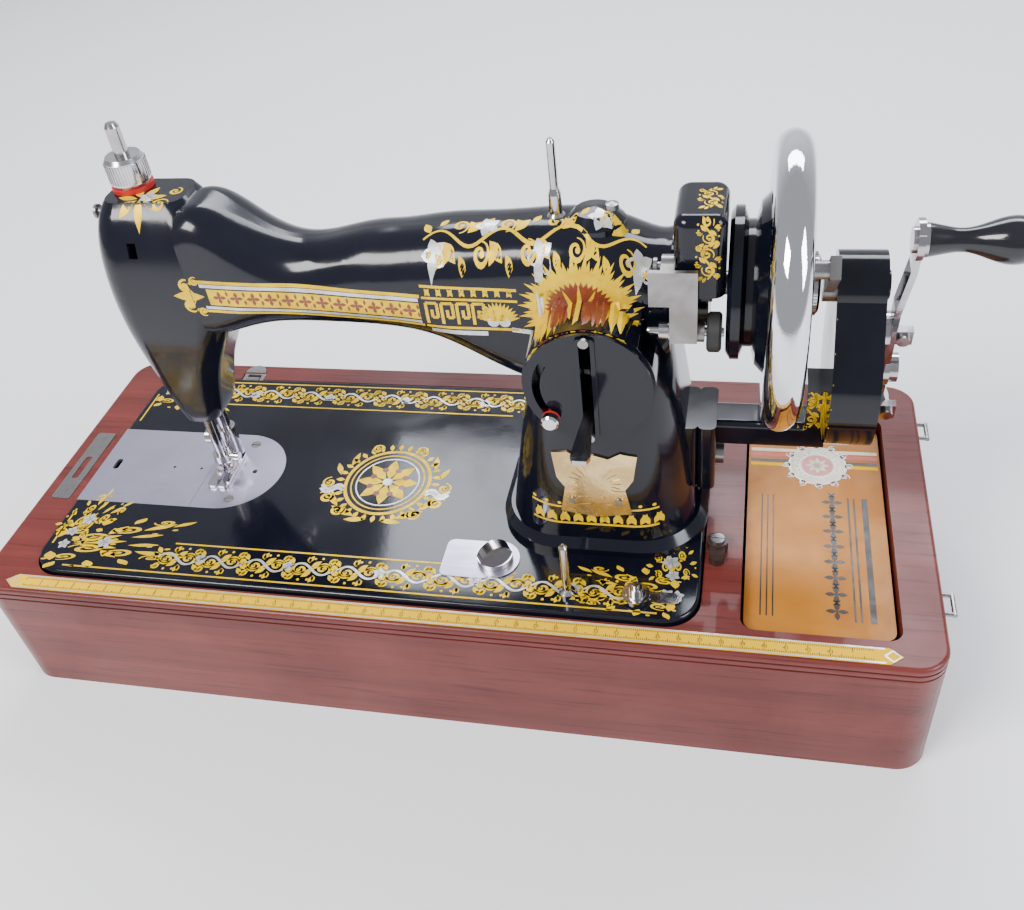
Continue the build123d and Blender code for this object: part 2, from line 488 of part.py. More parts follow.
def arm_parts():
    foot_x, foot_y, foot_corner = PILLAR_FOOT
    foot = slab(foot_x, foot_y, (0, 9), foot_corner)
    foot = chamfer(foot.edges().group_by(Axis.Z)[-1], 5.0, 4.0)
    arm = beam_x(ARM) + tower(PILLAR) + foot + tower(HEAD)
    arm += rod_y(PILLAR_X, DISC_Z, (DISC_Y + 3.0, 80), DISC_R + 1.0)
    arm += turned_z(318.0, SHAFT_Y, [(0, 150), (15, 150), (14, 168), (9, 172.5), (0, 174)])
    arm += rod_x(SHAFT_Y, SHAFT_Z, (340, 370), 20.0)
    arm += slab((345, PAD_X), PAD_Y, PAD_Z, 3.0)
    # hollows: shaft tunnel, pillar, crank room, bar room
    arm -= rod_x(SHAFT_Y, SHAFT_Z, (96, 352), 12.5)
    arm -= rod_x(SHAFT_Y, SHAFT_Z, (340, 380), 9.0)
    arm -= block((294, 342), (66, 116), (-1, 112))
    arm -= block((296, 340), (73, 109), (100, 153))
    arm -= block((FACE_X - 5, 92.0), (82.0, 107.5), (58, 168))
    arm -= block((92.0, 101.0), (84.0, 98.0), (74, 160))
    arm -= rod_x(SHAFT_Y, SHAFT_Z, (95.0, 108.0), CRANK_DISC_R + 0.5)
    arm -= block((91.0, 98.5), (99.0, 108.0), (84.0, 100.0))
    arm -= block((341.0, 372.0), (45.0, 66.2), (119.0, 152.0))
    arm -= block((89.5, 94.2), (71.0, 99.0), (128, 164))
    arm -= block((FACE_X - 20, FACE_X + FACE_T), (40, 150), (50, 176))
    # bores for the two bars
    arm -= rod_z(NEEDLE_X, NEEDLE_Y, (40, 60), 5.0)
    arm -= rod_z(NEEDLE_X, PRESSER_Y, (40, 60), 5.4)
    arm -= rod_z(NEEDLE_X, PRESSER_Y, (150, HEAD_TOP + 5), PRESSURE_R)
    # room behind the regulator disc, and the lifter's slot in the back of the head
    arm -= block((PILLAR_X - SLOT_HALF, PILLAR_X + SLOT_HALF), (30, 76), (82, 135))
    arm -= rod_y(PILLAR_X, DISC_Z, (DISC_Y, DISC_Y + 9.0), KNOB_ORBIT + 2.4)
    arm -= block((92.5, 98.0), (98, 122), (97, 128))
    arm -= rod_x(LIFTER_PIVOT[0], LIFTER_PIVOT[1], (86, 104), 2.0)
    arm -= rod_x(TAKE_UP_PIVOT[0], TAKE_UP_PIVOT[1], (88, 106), 1.8)
    arm -= rod_x(LEVER_PIVOT[0], LEVER_PIVOT[1], (308, 328), 2.0)
    arm -= rod_x(87.0, 35.0, (PAD_X - 12, PAD_X + 20), 3.1)
    for x, y in ARM_BOLTS:
        arm -= rod_z(x, y, (-1, 14), 3.1)
    arm -= arm_spool_pin()
    add("arm", arm)
    add("spool_pins", arm_spool_pin())
    bolts = []
    for x, y in ARM_BOLTS:
        bolts.append(rod_z(x, y, (-BED_PLATE - 4, -BED_PLATE), 5.0) + rod_z(x, y, (-BED_PLATE, 13.5), 3.0))
    add("frame_bolts", Compound(bolts))

    face = face_prism(FACE_X - 10, FACE_X + FACE_T)
    face -= block((50, 80), (91.0, 98.6), (138, 160))
    face -= rod_x(103.0, 106.0, (50, 80), 2.0)
    screws = []
    for y, z in ((93.0, 171.0), (94.0, 66.0)):
        face -= rod_x(y, z, (50, 80), 2.0)
        screws.append(rod_x(y, z, (FACE_X - 1.6, FACE_X - 0.2), 3.6)
                      + rod_x(y, z, (FACE_X - 0.2, FACE_X + FACE_T), 2.0))
    face -= Compound([rod_x(y, z, (50, FACE_X - 0.2), 3.7) for y, z in ((93.0, 171.0), (94.0, 66.0))])
    add("face_plate", face)
    add("cover_screws", Compound(screws))

    disc = rod_y(PILLAR_X, DISC_Z, (DISC_Y, DISC_Y + 3.0), DISC_R)
    disc -= block((PILLAR_X - SLOT_HALF, PILLAR_X + SLOT_HALF), (30, 60), (83, 134))
    ring = rod_y(PILLAR_X, DISC_Z, (30, 60), KNOB_ORBIT + 1.9) - rod_y(PILLAR_X, DISC_Z, (29, 61),
                                                                       KNOB_ORBIT - 1.9)
    far = 60.0
    wedge = [(PILLAR_X, DISC_Z)]
    for angle in (KNOB_ANGLE - KNOB_TRAVEL - 5, KNOB_ANGLE - KNOB_TRAVEL / 2, KNOB_ANGLE + 5):
        wedge.append((PILLAR_X + far * math.cos(math.radians(angle)),
                      DISC_Z + far * math.sin(math.radians(angle))))
    sector = extrude(Plane(origin=(0, 30, 0), x_dir=(1, 0, 0),
                           z_dir=(0, -1, 0)) * make_face(Polyline(*wedge, close=True)),
                     -30)
    disc -= ring & sector
    cover = slab((0, 9), (0, 57), (0, 1.3), 2.0)
    cover = Pos(PILLAR_X - 4.5, DISC_Y, DISC_Z - 28.5) * Rot(90, 0, 0) * cover
    cover -= block((PILLAR_X - SLOT_HALF, PILLAR_X + SLOT_HALF), (30, 60), (83.5, 133.5))
    disc_screws = []
    for z in (DISC_Z - 27.0, DISC_Z + 27.0):
        cover -= rod_y(PILLAR_X, z, (30, DISC_Y + 1), 1.25)
        disc -= rod_y(PILLAR_X, z, (30, 60), 1.25)
        disc_screws.append(rod_y(PILLAR_X, z, (DISC_Y - 2.9, DISC_Y - 1.3), 2.3)
                           + rod_y(PILLAR_X, z, (DISC_Y - 1.3, DISC_Y + 3.0), 1.25))
    add("regulator_disc", disc + cover)
    add("cover_screws", Compound(disc_screws))

    slope = Rot(LEVER_SLOPE, 0, 0)
    lever = Pos(PILLAR_X, LEVER_PIVOT[0], LEVER_PIVOT[1]) * slope * (
        rod_x(0, 0, (-2.3, 2.3), 4.0) + block((-2.0, 2.0), (-32, 0), (-1.2, 1.2))
        + extrude(Pos(0, 0, -1.2) * make_face(Polyline((-2.0, -30), (2.0, -30), (4.6, -58), (3.2, -61),
                                                       (-3.2, -61),
                                                       (-4.6, -58), close=True)), 2.4))
    lever -= rod_x(LEVER_PIVOT[0], LEVER_PIVOT[1], (300, 330), 2.0 + RUN)
    add("feed_lever", lever)
    add("pivot_pins", rod_x(LEVER_PIVOT[0], LEVER_PIVOT[1], (308, 328), 2.0))

    angle = math.radians(KNOB_ANGLE)
    knob_x, knob_z = PILLAR_X + KNOB_ORBIT * math.cos(angle), DISC_Z + KNOB_ORBIT * math.sin(angle)
    stem = rod_y(knob_x, knob_z, (DISC_Y - 3.0, DISC_Y + 4.0), 1.6)
    shoe = rod_y(knob_x, knob_z, (DISC_Y + 3.4, DISC_Y + 6.0), 2.2)
    add("stitch_knob", stem + shoe + turned_y(knob_x, knob_z,
                                              [(0, DISC_Y - 7), (3.2, DISC_Y - 7), (4.2, DISC_Y - 6),
                                                               (4.2, DISC_Y - 3.0), (0, DISC_Y - 3.0)]))
    add("stitch_knob", rod_y(knob_x, knob_z, (DISC_Y - 2.9, DISC_Y - 1.7), 4.3)
        - rod_y(knob_x, knob_z, (30, 50), 1.6))

    plaque = Polyline((297, 66), (305, 68), (311, 64.5), (318, 66.5), (325, 64.5), (331, 68), (339, 66),
                      (337, 52), (333, 46), (336, 30), (318, 27), (300, 30), (303, 46), (299, 52), close=True)
    prism = extrude(Plane(origin=(0, 30, 0), x_dir=(1, 0, 0), z_dir=(0, -1, 0)) * make_face(plaque), -30)
    shell = tower(PILLAR, 1.2) - tower(PILLAR, 0.0)
    plate = shell & prism
    rivets = []
    for x in (306.5, 329.5):
        plate -= rod_y(x, 38.0, (30, 60), 1.0)
        rivets.append(rod_y(x, 38.0, (41.0, 44.2), 1.0) + rod_y(x, 38.0, (41.0, 42.4), 2.0))
    add("pillar_plaque", plate)
    add("cover_screws", Compound([r - tower(PILLAR, 1.2) for r in rivets]))
    add("cover_screws", turned_z(326.0, SHAFT_Y, [(0, 173.0), (3.4, 173.0), (3.0, 175.2), (0, 176.0)])
        - nodes["arm"][0])

    bracket = crank_bracket() - nodes["arm"][0]
    add("crank_bracket", bracket)
    add("frame_bolts", rod_x(87.0, 35.0, (PAD_X - 11, PAD_X + 9), 3.0)
        + rod_x(87.0, 35.0, (PAD_X + 9, PAD_X + 13), 6.0))
    mid = (HOUSING_X0 + HOUSING_X1) / 2
    cover = housing_shape((mid, HOUSING_X1), 0.0) - housing_shape((mid - 1, HOUSING_X1 - HOUSING_WALL),
                                                                  HOUSING_WALL)
    cover -= rod_x(GEAR_Y, GEAR_Z, (mid, HOUSING_X1 + 1), 5.0 + RUN)
    cover += rod_x(SHAFT_Y, SHAFT_Z, (419.5, HOUSING_X1), 4.0)
    cover += rod_x(SHAFT_Y, SHAFT_Z, (HOUSING_X1, HOUSING_X1 + 2), 6.5)
    add("gear_cover", cover)


def drive_parts():
    y, z = SHAFT_Y, SHAFT_Z
    shaft = rod_x(y, z, (100.0, 411.0), SHAFT_R)
    shaft += rod_x(y, z, (100.0, 106.0), CRANK_DISC_R) + rod_x(y, z - CRANK_PIN_R, (99.3, 101.0), 2.2)
    for x in ROD_X:
        shaft += rod_x(y + ECCENTRIC, z, x, ECCENTRIC_R)
    add("main_shaft", shaft)
    bushings = [rod_x(y, z, (110, 124), 12.5), rod_x(y, z, (352, 371), 9.0)]
    add("bushings", Compound([b - rod_x(y, z, (90, 400), SHAFT_R + RUN) for b in bushings]))

    wheel = turned_x(y, z, [(BOSS_X0, SHAFT_R), (BOSS_X0, BOSS_R - 3), (BOSS_X0 + 2, BOSS_R),
                            (BOSS_X0 + 6, BOSS_R),
                            (BOSS_X0 + 8, BOSS_R - 6), (BOSS_X0 + 11, BOSS_R - 6), (BOSS_X0 + 13, BOSS_R + 2),
                            (BOSS_X0 + 17, BOSS_R + 6), (WHEEL_X - 1, 22), (WHEEL_X + 8, 17),
                            (WHEEL_X + 8, SHAFT_R)])
    for i in range(SPOKES):
        wheel += Pos(WHEEL_X, y, z) * Rot(i * 360 / SPOKES + 18, 0, 0) * Pos(-1.0, 0, 38) * Box(9.0, 11.0,
                                                                                                44.0)
    wheel += Pos(WHEEL_X, y, z) * Rot(0, 90, 0) * Torus(WHEEL_R - RIM_R, RIM_R)
    add("handwheel", wheel)
    add("stop_motion_knob", turned_x(y, z, [(WHEEL_X + 8.3, 0), (WHEEL_X + 8.3, 13), (WHEEL_X + 9.5, 14),
                                            (WHEEL_X + 13.2, 14), (WHEEL_X + 14.4, 12.5),
                                            (WHEEL_X + 14.4, 0)]))
    toward_gear = math.degrees(math.atan2(GEAR_Z - z, GEAR_Y - y))
    pinion = gear_x(y, z, (HOUSING_X0 + 3.6, HOUSING_X1 - 4.0), PINION_TEETH, GEAR_MODULE,
                    toward_gear + 180 / PINION_TEETH)
    pinion += rod_x(y, z, (419.5, HOUSING_X1 - 4.0), PINION_BOSS_R)
    pinion -= rod_x(y, z, (400, 460), 4.0 + RUN)
    finger = Pos(0, y, z) * Rot(54 + 18 - 24, 0, 0) * (block((419.5, 424.0), (-5, 5), (6.0, 38))
                                                       + rod_x(0, 33, (400.0, 420), 4.0))
    pinion += finger - rod_x(y, z, (400, 460), PINION_BOSS_R)
    add("driving_pinion", pinion)

    turn = math.degrees(math.atan2(z - GEAR_Z, y - GEAR_Y))
    gear = gear_x(GEAR_Y, GEAR_Z, (HOUSING_X0 + 3.6, HOUSING_X1 - 4.0), GEAR_TEETH, GEAR_MODULE, turn)
    gear += rod_x(GEAR_Y, GEAR_Z, (HOUSING_X0 + 1.0, HOUSING_X1 + 8.0), 5.0)
    add("crank_gear", gear)
    lean = math.degrees(math.atan2(16, 76))
    place = Pos(0, GEAR_Y, GEAR_Z) * Rot(lean, 0, 0)
    x0 = HOUSING_X1
    hub = slab((-9, 9), (-27, 33), (0, 3.0), 8.0)
    hub = Pos(x0 + 0.6, 0, 0) * Rot(0, 90, 0) * Rot(0, 0, 90) * hub
    hub += block((x0 + 3.4, x0 + 12.5), (-9, -5), (25, 33)) + block((x0 + 3.4, x0 + 12.5), (-9, -5),
                                                                    (-27, -18))
    hub -= rod_x(0, 0, (x0 - 1, x0 + 20), 5.0)
    add("crank_arm", place * hub)
    screws = []
    for s in (29.0, -22.5):
        screws.append(rod_y(x0 + 8.4, s, (-11.4, -9.0), 2.9))
    add("crank_arm", place * Compound(screws))
    strip = make_face(Polyline((x0 + 6.5, 87), (x0 + 6.5, 64), (x0 + 3.7, 40), (x0 + 3.7, -16),
                               (x0 + 8.0, -27),
                               (x0 + 10.6, -26), (x0 + 6.4, -14), (x0 + 6.4, 39), (x0 + 9.3, 64),
                               (x0 + 9.3, 87), close=True))
    strip = extrude(Plane(origin=(0, 0, 0), x_dir=(1, 0, 0), z_dir=(0, -1, 0)) * strip, 5.5, both=True)
    strip -= Pos(x0, 0, 0) * block((-5, 20), (-4.9, 20), (-40, -18)) - block((x0, x0 + 20), (-4.9, 7),
                                                                             (-40, -18))
    strip &= block((x0, x0 + 30), (-4.9, 5.5), (-40, 84)) + rod_x(0, CRANK_ARM, (x0, x0 + 30), 9.0)
    strip += rod_x(0, 0, (x0 + 3.7, x0 + 6.4), 8.5)
    strip += rod_x(0, CRANK_ARM, (x0 + 6.5, x0 + 9.3), 8.5)
    strip -= rod_x(0, 0, (x0 - 1, x0 + 20), 5.0)
    strip -= rod_x(0, CRANK_ARM, (x0 - 1, x0 + 20), 3.0)
    add("crank_arm", place * strip)
    add("crank_arm", place * (rod_x(0, 0, (x0 + 6.5, x0 + 10.5), 7.0) - rod_x(0, 0, (x0, x0 + 8.0), 5.0)))
    add("crank_arm", place * (rod_x(0, CRANK_ARM, (x0 + 5.0, x0 + 49.0), 3.0)
                              + rod_x(0, CRANK_ARM, (x0 + 5.0, x0 + 6.5), 5.5)
                             + rod_x(0, CRANK_ARM, (x0 + 9.3, x0 + 11.0), 7.2)))
    g = x0 + 11.3
    curve = Spline((g, 7.0), (g + 7, 5.6), (g + 13, 4.9), (g + 20, 6.4), (g + 31, 9.8), (g + 38, 9.0),
                   (g + 44, 4.5))
    grip = make_face([curve, Line((g + 44, 4.5), (g + 44, 0)), Line((g + 44, 0), (g, 0)),
                      Line((g, 0), (g, 7.0))])
    grip = Pos(0, 0, CRANK_ARM) * revolve(grip, Axis.X) - rod_x(0, CRANK_ARM, (x0, x0 + 49.5), 3.0 + RUN)
    add("crank_grip", place * grip)

    rods = []
    for x, low in zip(ROD_X, (-26.0, -16.0)):
        rod = rod_x(y + ECCENTRIC, z, x, 12.5) + rod_z(sum(x) / 2, y + ECCENTRIC, (low, z - 10), 3.2)
        rod += rod_x(y + ECCENTRIC, low, x, 6.0)
        rod -= rod_x(y + ECCENTRIC, z, (290, 340), ECCENTRIC_R + RUN)
        rod -= rod_x(y + ECCENTRIC, low, (290, 340), 3.0)
        rods.append(rod)
    add("pitman_rods", rods[0])
    add("pitman_rods", rods[1])


def needle_parts():
    x, y = NEEDLE_X, NEEDLE_Y
    bar = rod_z(x, y, (CLAMP_Z[0], 136.0), NEEDLE_BAR_R) - rod_z(x, y, (CLAMP_Z[0] - 2, 18), NEEDLE_R)
    add("needle_bar", bar)
    point = turned_z(x, y, [(0, 2.0), (0.55, 2.0), (0.5, -10.0), (0, -14.0)])
    add("needle", rod_z(x, y, (2.0, 18.0), NEEDLE_R) + point)
    screw_at = (CLAMP_Z[0] + CLAMP_Z[1]) / 2
    clamp = rod_z(x, y, CLAMP_Z, 5.4) + rod_x(y, screw_at, (x + 4, x + 8), 2.0)
    clamp += rod_x(y, screw_at, (x + 8, x + 11), 2.5)
    add("needle_bar", clamp - rod_z(x, y, (5, 25), NEEDLE_BAR_R))
    stud = rod_z(x, y, (80.0, 88.0), 6.0) + rod_x(y, 84.0, (x + 4, 94.0), 3.0)
    add("needle_bar", stud - rod_z(x, y, (70, 95), NEEDLE_BAR_R))
    link_y = SHAFT_Y
    link = block((94.4, 98.8), (link_y - 3.0, link_y + 3.0), (84.0, 120.0))
    for z in (84.0, 120.0):
        link += rod_x(link_y, z, (94.4, 98.8), 4.6)
    link -= rod_x(link_y, 120.0, (90, 100), 2.3)
    add("needle_link", link + rod_x(y, 84.0, (94.0, 94.4), 2.0))
    guides = [rod_z(x, y, (45.0, 59.5), 5.0) - rod_z(x, y, (40, 60), NEEDLE_BAR_R + RUN),
              rod_z(x, PRESSER_Y, (45.0, 59.5), 5.4) - rod_z(x, PRESSER_Y, (40, 60), PRESSER_BAR_R + RUN)]
    add("bushings", Compound(guides))

    bar = rod_z(x, PRESSER_Y, (8.0, 211.0), PRESSER_BAR_R)
    bar += turned_z(x, PRESSER_Y, [(0, 211), (3.6, 211), (2.6, 213), (0, 213.4)])
    add("presser_bar", bar)
    foot = rod_z(x, PRESSER_Y, (3.0, 24.0), 5.6) - rod_z(x, PRESSER_Y, (8.0, 30), PRESSER_BAR_R)
    foot += slab((x - 6.5, x + 6.5), (72.0, 104.0), (0.35, 2.2), 2.5)
    foot += block((x - 4.0, x + 4.0), (95.5, 104.0), (1.5, 8.0))
    foot -= slab((x - 1.4, x + 1.4), (68.0, 92.5), (-1, 5), 1.3)
    add("presser_foot", foot)
    add("presser_foot", rod_x(PRESSER_Y, 16.0, (x - 10.5, x - 5.6), 2.4)
        + rod_x(PRESSER_Y, 16.0, (x - 14.0, x - 10.5), 4.6))
    guide = rod_z(x, PRESSER_Y, (86.0, 94.0), 5.8) + block((x + 2, 97.5), (100.0, 107.0), (86.0, 92.0))
    add("presser_bar", guide - rod_z(x, PRESSER_Y, (80, 100), PRESSER_BAR_R))
    add("presser_spring", rod_z(x, PRESSER_Y, (94.2, 149.8), 5.6)
        - rod_z(x, PRESSER_Y, (90, 160), PRESSER_BAR_R + FREE))
    screw = rod_z(x, PRESSER_Y, (158.0, 183.0), PRESSURE_R - RUN)
    screw += rod_z(x, PRESSER_Y, (150.0, 158.0), PRESSURE_R - 0.9)
    nut = [(0, 182.3), (9.2, 182.3), (9.9, 184.0), (9.9, 195.0), (8.6, 197.0), (0, 197.0)]
    screw += turned_z(x, PRESSER_Y, nut)
    add("pressure_screw", screw - rod_z(x, PRESSER_Y, (140, 200), PRESSER_BAR_R + RUN))
    add("pressure_screw", rod_z(x, PRESSER_Y, (HEAD_TOP, 182.2), 10.4)
        - rod_z(x, PRESSER_Y, (170, 190), PRESSURE_R - RUN))
    ly, lz = LIFTER_PIVOT
    lifter = rod_x(ly, lz, (93.0, 97.5), 4.0)
    handle = Pos(0, ly, lz) * Rot(-28, 0, 0) * (block((93.0, 97.5), (0, 24), (-2.0, 2.0))
                                               + slab((90.5, 100.0), (22, 34), (-2.0, 2.0), 4.0))
    add("presser_lifter", lifter + handle - rod_x(ly, lz, (80, 110), 2.0 + RUN))
    add("pivot_pins", rod_x(ly, lz, (86, 104), 2.0))

    ty, tz = TAKE_UP_PIVOT
    turn = Pos(0, ty, tz) * Rot(TAKE_UP_REST, 0, 0)
    reach = (TAKE_UP_ARM - 1.0, TAKE_UP_ARM + 1.0)
    lever = rod_x(0, 0, (90.0, 93.6), 3.0) + block((90.0, 93.6), (0, reach[1]), (-1.5, 1.5))
    lever += block((58.6, 93.6), reach, (-1.5, 1.5))
    lever += block((58.6, 61.4), reach, (-1.5, 9.0))
    lever -= rod_x(0, 0, (80, 100), 1.8 + RUN)
    lever -= rod_y(60.0, 6.4, (0, 40), 0.8)
    add("take_up_lever", turn * lever)
    add("pivot_pins", rod_x(ty, tz, (89.6, 106.0), 1.8))
    post = rod_x(103.0, 106.0, (56.5, FACE_X + FACE_T), 2.0)
    post += turned_x(103.0, 106.0, [(60.2, 0), (60.2, 5.6), (61.6, 7.2), (62.2, 7.2), (63.4, 4.0),
                                    (64.8, 7.2), (65.4, 7.2),
                                    (66.6, 5.0), (66.6, 0)])
    add("tension_discs", post)
    nut = rod_x(103.0, 106.0, (56.0, 59.9), 5.0) - rod_x(103.0, 106.0, (56.4, 70), 2.0 + RUN)
    add("tension_nut", nut)


def winder_parts():
    cover = slab((355, 377.4), (60, 97), (146, 184), 6.0)
    cover = fillet(cover.edges().filter_by(Plane.XY).group_by(Axis.Z)[-1], 5.0)
    cover -= nodes["arm"][0]
    cover -= block((347, 356.8), (50, 72.6), (140, 165))
    cover -= rod_x(66.0, 158.0, (340, 371), 2.4)
    add("winder_bracket", cover.solids().sort_by(SortBy.VOLUME)[-1])
    add("pivot_pins", rod_x(66.0, 158.0, (348.0, 371.0), 2.4) + rod_x(66.0, 158.0, (346.4, 348.0), 4.2))
    arm = rod_x(66.0, 158.0, (350, 356), 5.6) + block((350, 356), (54.5, 64), (153, 162))
    arm += block((345.0, 366.0), (54.5, 57.0), (145.0, 162.0)) + block((354.0, 366.0), (54.5, 57.0),
                                                                       (126.0, 150.0))
    arm += rod_x(60.0, 129.0, (354.0, 369.0), 4.6)
    arm -= rod_x(66.0, 158.0, (340, 370), 2.4 + RUN)
    arm -= rod_x(60.0, 129.0, (340, 380), 2.0 + RUN)
    add("winder_arm", arm)
    spindle = turned_x(60.0, 129.0, [(343.0, 0), (343.8, 1.8), (344.6, 2.0), (377.5, 2.0), (377.5, 0)])
    spindle += rod_x(60.0, 129.0, (349.0, 353.4), 4.0)
    add("winder_spindle", spindle)
    add("winder_spindle", turned_x(60.0, 129.0, [(370.0, 2.0), (370.0, 7.8), (371.0, 9.0), (375.4, 9.0),
                                                 (376.4, 7.8), (376.4, 2.0)]))


def underbed_parts():
    sy, sz = NEEDLE_Y, HOOK_Z
    shaft = rod_x(sy, sz, (83.5, 303.0), 4.5) + block((296.0, 303.0), (sy - 4.0, sy + 16.0),
                                                      (sz - 4.0, sz + 4.0))
    shaft += rod_x(sy + 14.0, sz, (296.0, 303.0), 5.0)
    add("shuttle_shaft", shaft)
    hook = rod_x(sy, sz, (70.0, 83.5), 17.35) - rod_x(sy, sz, (60.0, 79.0), 12.55)
    hook -= Pos(0, sy, sz) * Rot(40, 0, 0) * block((60, 79.0), (0, 30), (8.0, 30))
    add("shuttle_hook", hook)
    race = rod_x(sy, sz, (68.5, 80.0), 20.8) + block((68.5, 80.0), (52.0, 72.0), (-14.0, -BED_PLATE))
    race -= rod_x(sy, sz, (60.0, 90.0), 17.4)
    add("shuttle_race", race)
    case = rod_x(sy, sz, (66.0, 78.6), 12.5) - rod_x(sy, sz, (67.4, 90.0), 10.8)
    case += rod_x(sy, sz, (66.0, 78.0), 2.9)
    case += block((63.6, 66.0), (sy - 4.0, sy + 9.0), (sz - 3.0, sz + 3.0))
    add("bobbin_case", case)
    bobbin = turned_x(sy, sz, [(67.8, 2.95), (67.8, 10.4), (68.6, 10.4), (68.6, 4.6), (77.2, 4.6),
                               (77.2, 10.4), (78.0, 10.4),
                               (78.0, 2.95)])
    add("bobbin", bobbin)
    bar = block((84.0, 91.5), (52.0, 128.0), (-10.0, -5.2)) + block((81.2, 89.8), (79.0, 99.0), (-5.2, -2.6))
    for offset in (-3.4, 3.4):
        for i in range(9):
            y = 80.2 + 1.9 * i
            tooth = make_face(Polyline((y, -2.7), (y + 1.7, -2.7), (y + 1.5, -0.5), close=True))
            tooth = extrude(Plane(origin=(NEEDLE_X + offset - 0.7, 0, 0), x_dir=(0, 1, 0),
                                  z_dir=(1, 0, 0)) * tooth, 1.4)
            bar += tooth
    bar -= slab((NEEDLE_X - 2.2, NEEDLE_X + 2.2), (82.0, 91.5), (-12, 0), 2.0)
    add("feed_bar", bar)
    for name, y in zip(("feed_lift_shaft", "feed_rock_shaft"), ROCKER_Y):
        rocker = rod_x(y, ROCKER_Z, ROCKER_X, 4.2) + block((84.0, 91.0), (y - 3, y + 3), (ROCKER_Z, -6.0))
        rocker += block((318.0, 324.0), (y - 3, y + 3), (-30.0, ROCKER_Z))
        for end in ROCKER_X:
            rocker -= rod_x(y, ROCKER_Z, (end - 4, end + 4), 2.4 + RUN)
        add(name, rocker)
        for x in ((50.0, 62.0), (333.0, 345.0)):
            add("frame_bolts", rod_x(y, ROCKER_Z, x, 2.4))


def main():
    wooden_base()
    base_fittings()
    bed_parts()
    arm_parts()
    drive_parts()
    needle_parts()
    winder_parts()
    underbed_parts()
    os.makedirs("parts", exist_ok=True)
    for name, solids in nodes.items():
        placed = [solid.moved(BED_AT) for solid in solids]
        export_step(placed[0] if len(placed) == 1 else Compound(placed), "parts/" + name + ".step")


main()
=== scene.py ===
import math

import bpy
from mathutils import Matrix, Vector
from mathutils.bvhtree import BVHTree

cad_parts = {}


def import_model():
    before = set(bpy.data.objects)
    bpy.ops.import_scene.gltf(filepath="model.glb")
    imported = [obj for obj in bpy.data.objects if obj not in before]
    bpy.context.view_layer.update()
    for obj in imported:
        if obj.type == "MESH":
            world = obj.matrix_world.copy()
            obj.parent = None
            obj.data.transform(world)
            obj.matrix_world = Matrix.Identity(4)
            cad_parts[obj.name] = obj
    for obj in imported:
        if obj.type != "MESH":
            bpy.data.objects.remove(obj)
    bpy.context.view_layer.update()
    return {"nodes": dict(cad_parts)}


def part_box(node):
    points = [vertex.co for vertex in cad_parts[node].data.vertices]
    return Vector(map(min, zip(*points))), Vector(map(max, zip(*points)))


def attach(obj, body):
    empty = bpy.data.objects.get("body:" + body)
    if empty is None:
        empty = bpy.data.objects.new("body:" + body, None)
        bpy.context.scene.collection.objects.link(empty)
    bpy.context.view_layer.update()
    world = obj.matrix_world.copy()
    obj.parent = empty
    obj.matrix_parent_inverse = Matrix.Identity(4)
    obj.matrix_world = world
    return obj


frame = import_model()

bl_info = {
    "name": "Hand crank sewing machine",
    "version": (1, 0, 0),
    "blender": (4, 5, 0),
    "location": "View3D > Sidebar > Sewing machine",
    "description": "Finishes, gilding and small trim for a hand crank sewing machine in its wooden base",
    "category": "Object",
}

MM = 0.001
NODES = frame["nodes"]
BED_LOW, BED_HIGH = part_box("bed")
WHEEL_LOW, WHEEL_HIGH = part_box("handwheel")
WHEEL_CENTRE = (WHEEL_LOW + WHEEL_HIGH) / 2
LIFT = 0.09  # millimetres of gilding above the enamel under it
LONGEST_FACE = 27 * MM  # a longer one has jumped over an edge, and is dropped


def on_machine(x, y, z=0.0):
    """A point in millimetres from the bed's front left corner and its top face."""
    return Vector((BED_LOW.x + x * MM, BED_LOW.y + y * MM, BED_HIGH.z + z * MM))


def placed(name, data):
    """A new object in the scene, at the origin and unturned."""
    thing = bpy.data.objects.new(name, data)
    bpy.context.scene.collection.objects.link(thing)
    return thing


def riding(piece, body):
    """Says which body a piece moves with."""
    if body:
        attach(piece, body)
    return piece


def polar(u, v, reach, turn, squash=1.0):
    """The point at a distance and a direction in degrees from (u, v)."""
    a = math.radians(turn)
    return u + reach * math.cos(a), v + squash * reach * math.sin(a)


# ---- shader groups
def group(name, inputs, outputs):
    """A new shader node group with its sockets, and its input and output nodes."""
    tree = bpy.data.node_groups.new(name, "ShaderNodeTree")
    for label, kind, value in inputs:
        item = tree.interface.new_socket(name=label, in_out="INPUT", socket_type=kind)
        if value is not None:
            item.default_value = value
    for label, kind in outputs:
        tree.interface.new_socket(name=label, in_out="OUTPUT", socket_type=kind)
    return tree, tree.nodes.new("NodeGroupInput"), tree.nodes.new("NodeGroupOutput")


def noise(tree, vector, scale, detail=3.0, rough=0.55, distort=0.0):
    """A noise texture's value; scale may be a number or a socket."""
    node = tree.nodes.new("ShaderNodeTexNoise")
    node.inputs["Detail"].default_value = detail
    node.inputs["Roughness"].default_value = rough
    node.inputs["Distortion"].default_value = distort
    tree.links.new(vector, node.inputs["Vector"])
    if isinstance(scale, (int, float)):
        node.inputs["Scale"].default_value = scale
    else:
        tree.links.new(scale, node.inputs["Scale"])
    return node.outputs["Fac"]


def ramp(tree, value, low, high, out_low=0.0, out_high=1.0):
    """A value spread from one range to another."""
    node = tree.nodes.new("ShaderNodeMapRange")
    for label, number in (("From Min", low), ("From Max", high),
                          ("To Min", out_low), ("To Max", out_high)):
        node.inputs[label].default_value = number
    tree.links.new(value, node.inputs["Value"])
    return node.outputs["Result"]


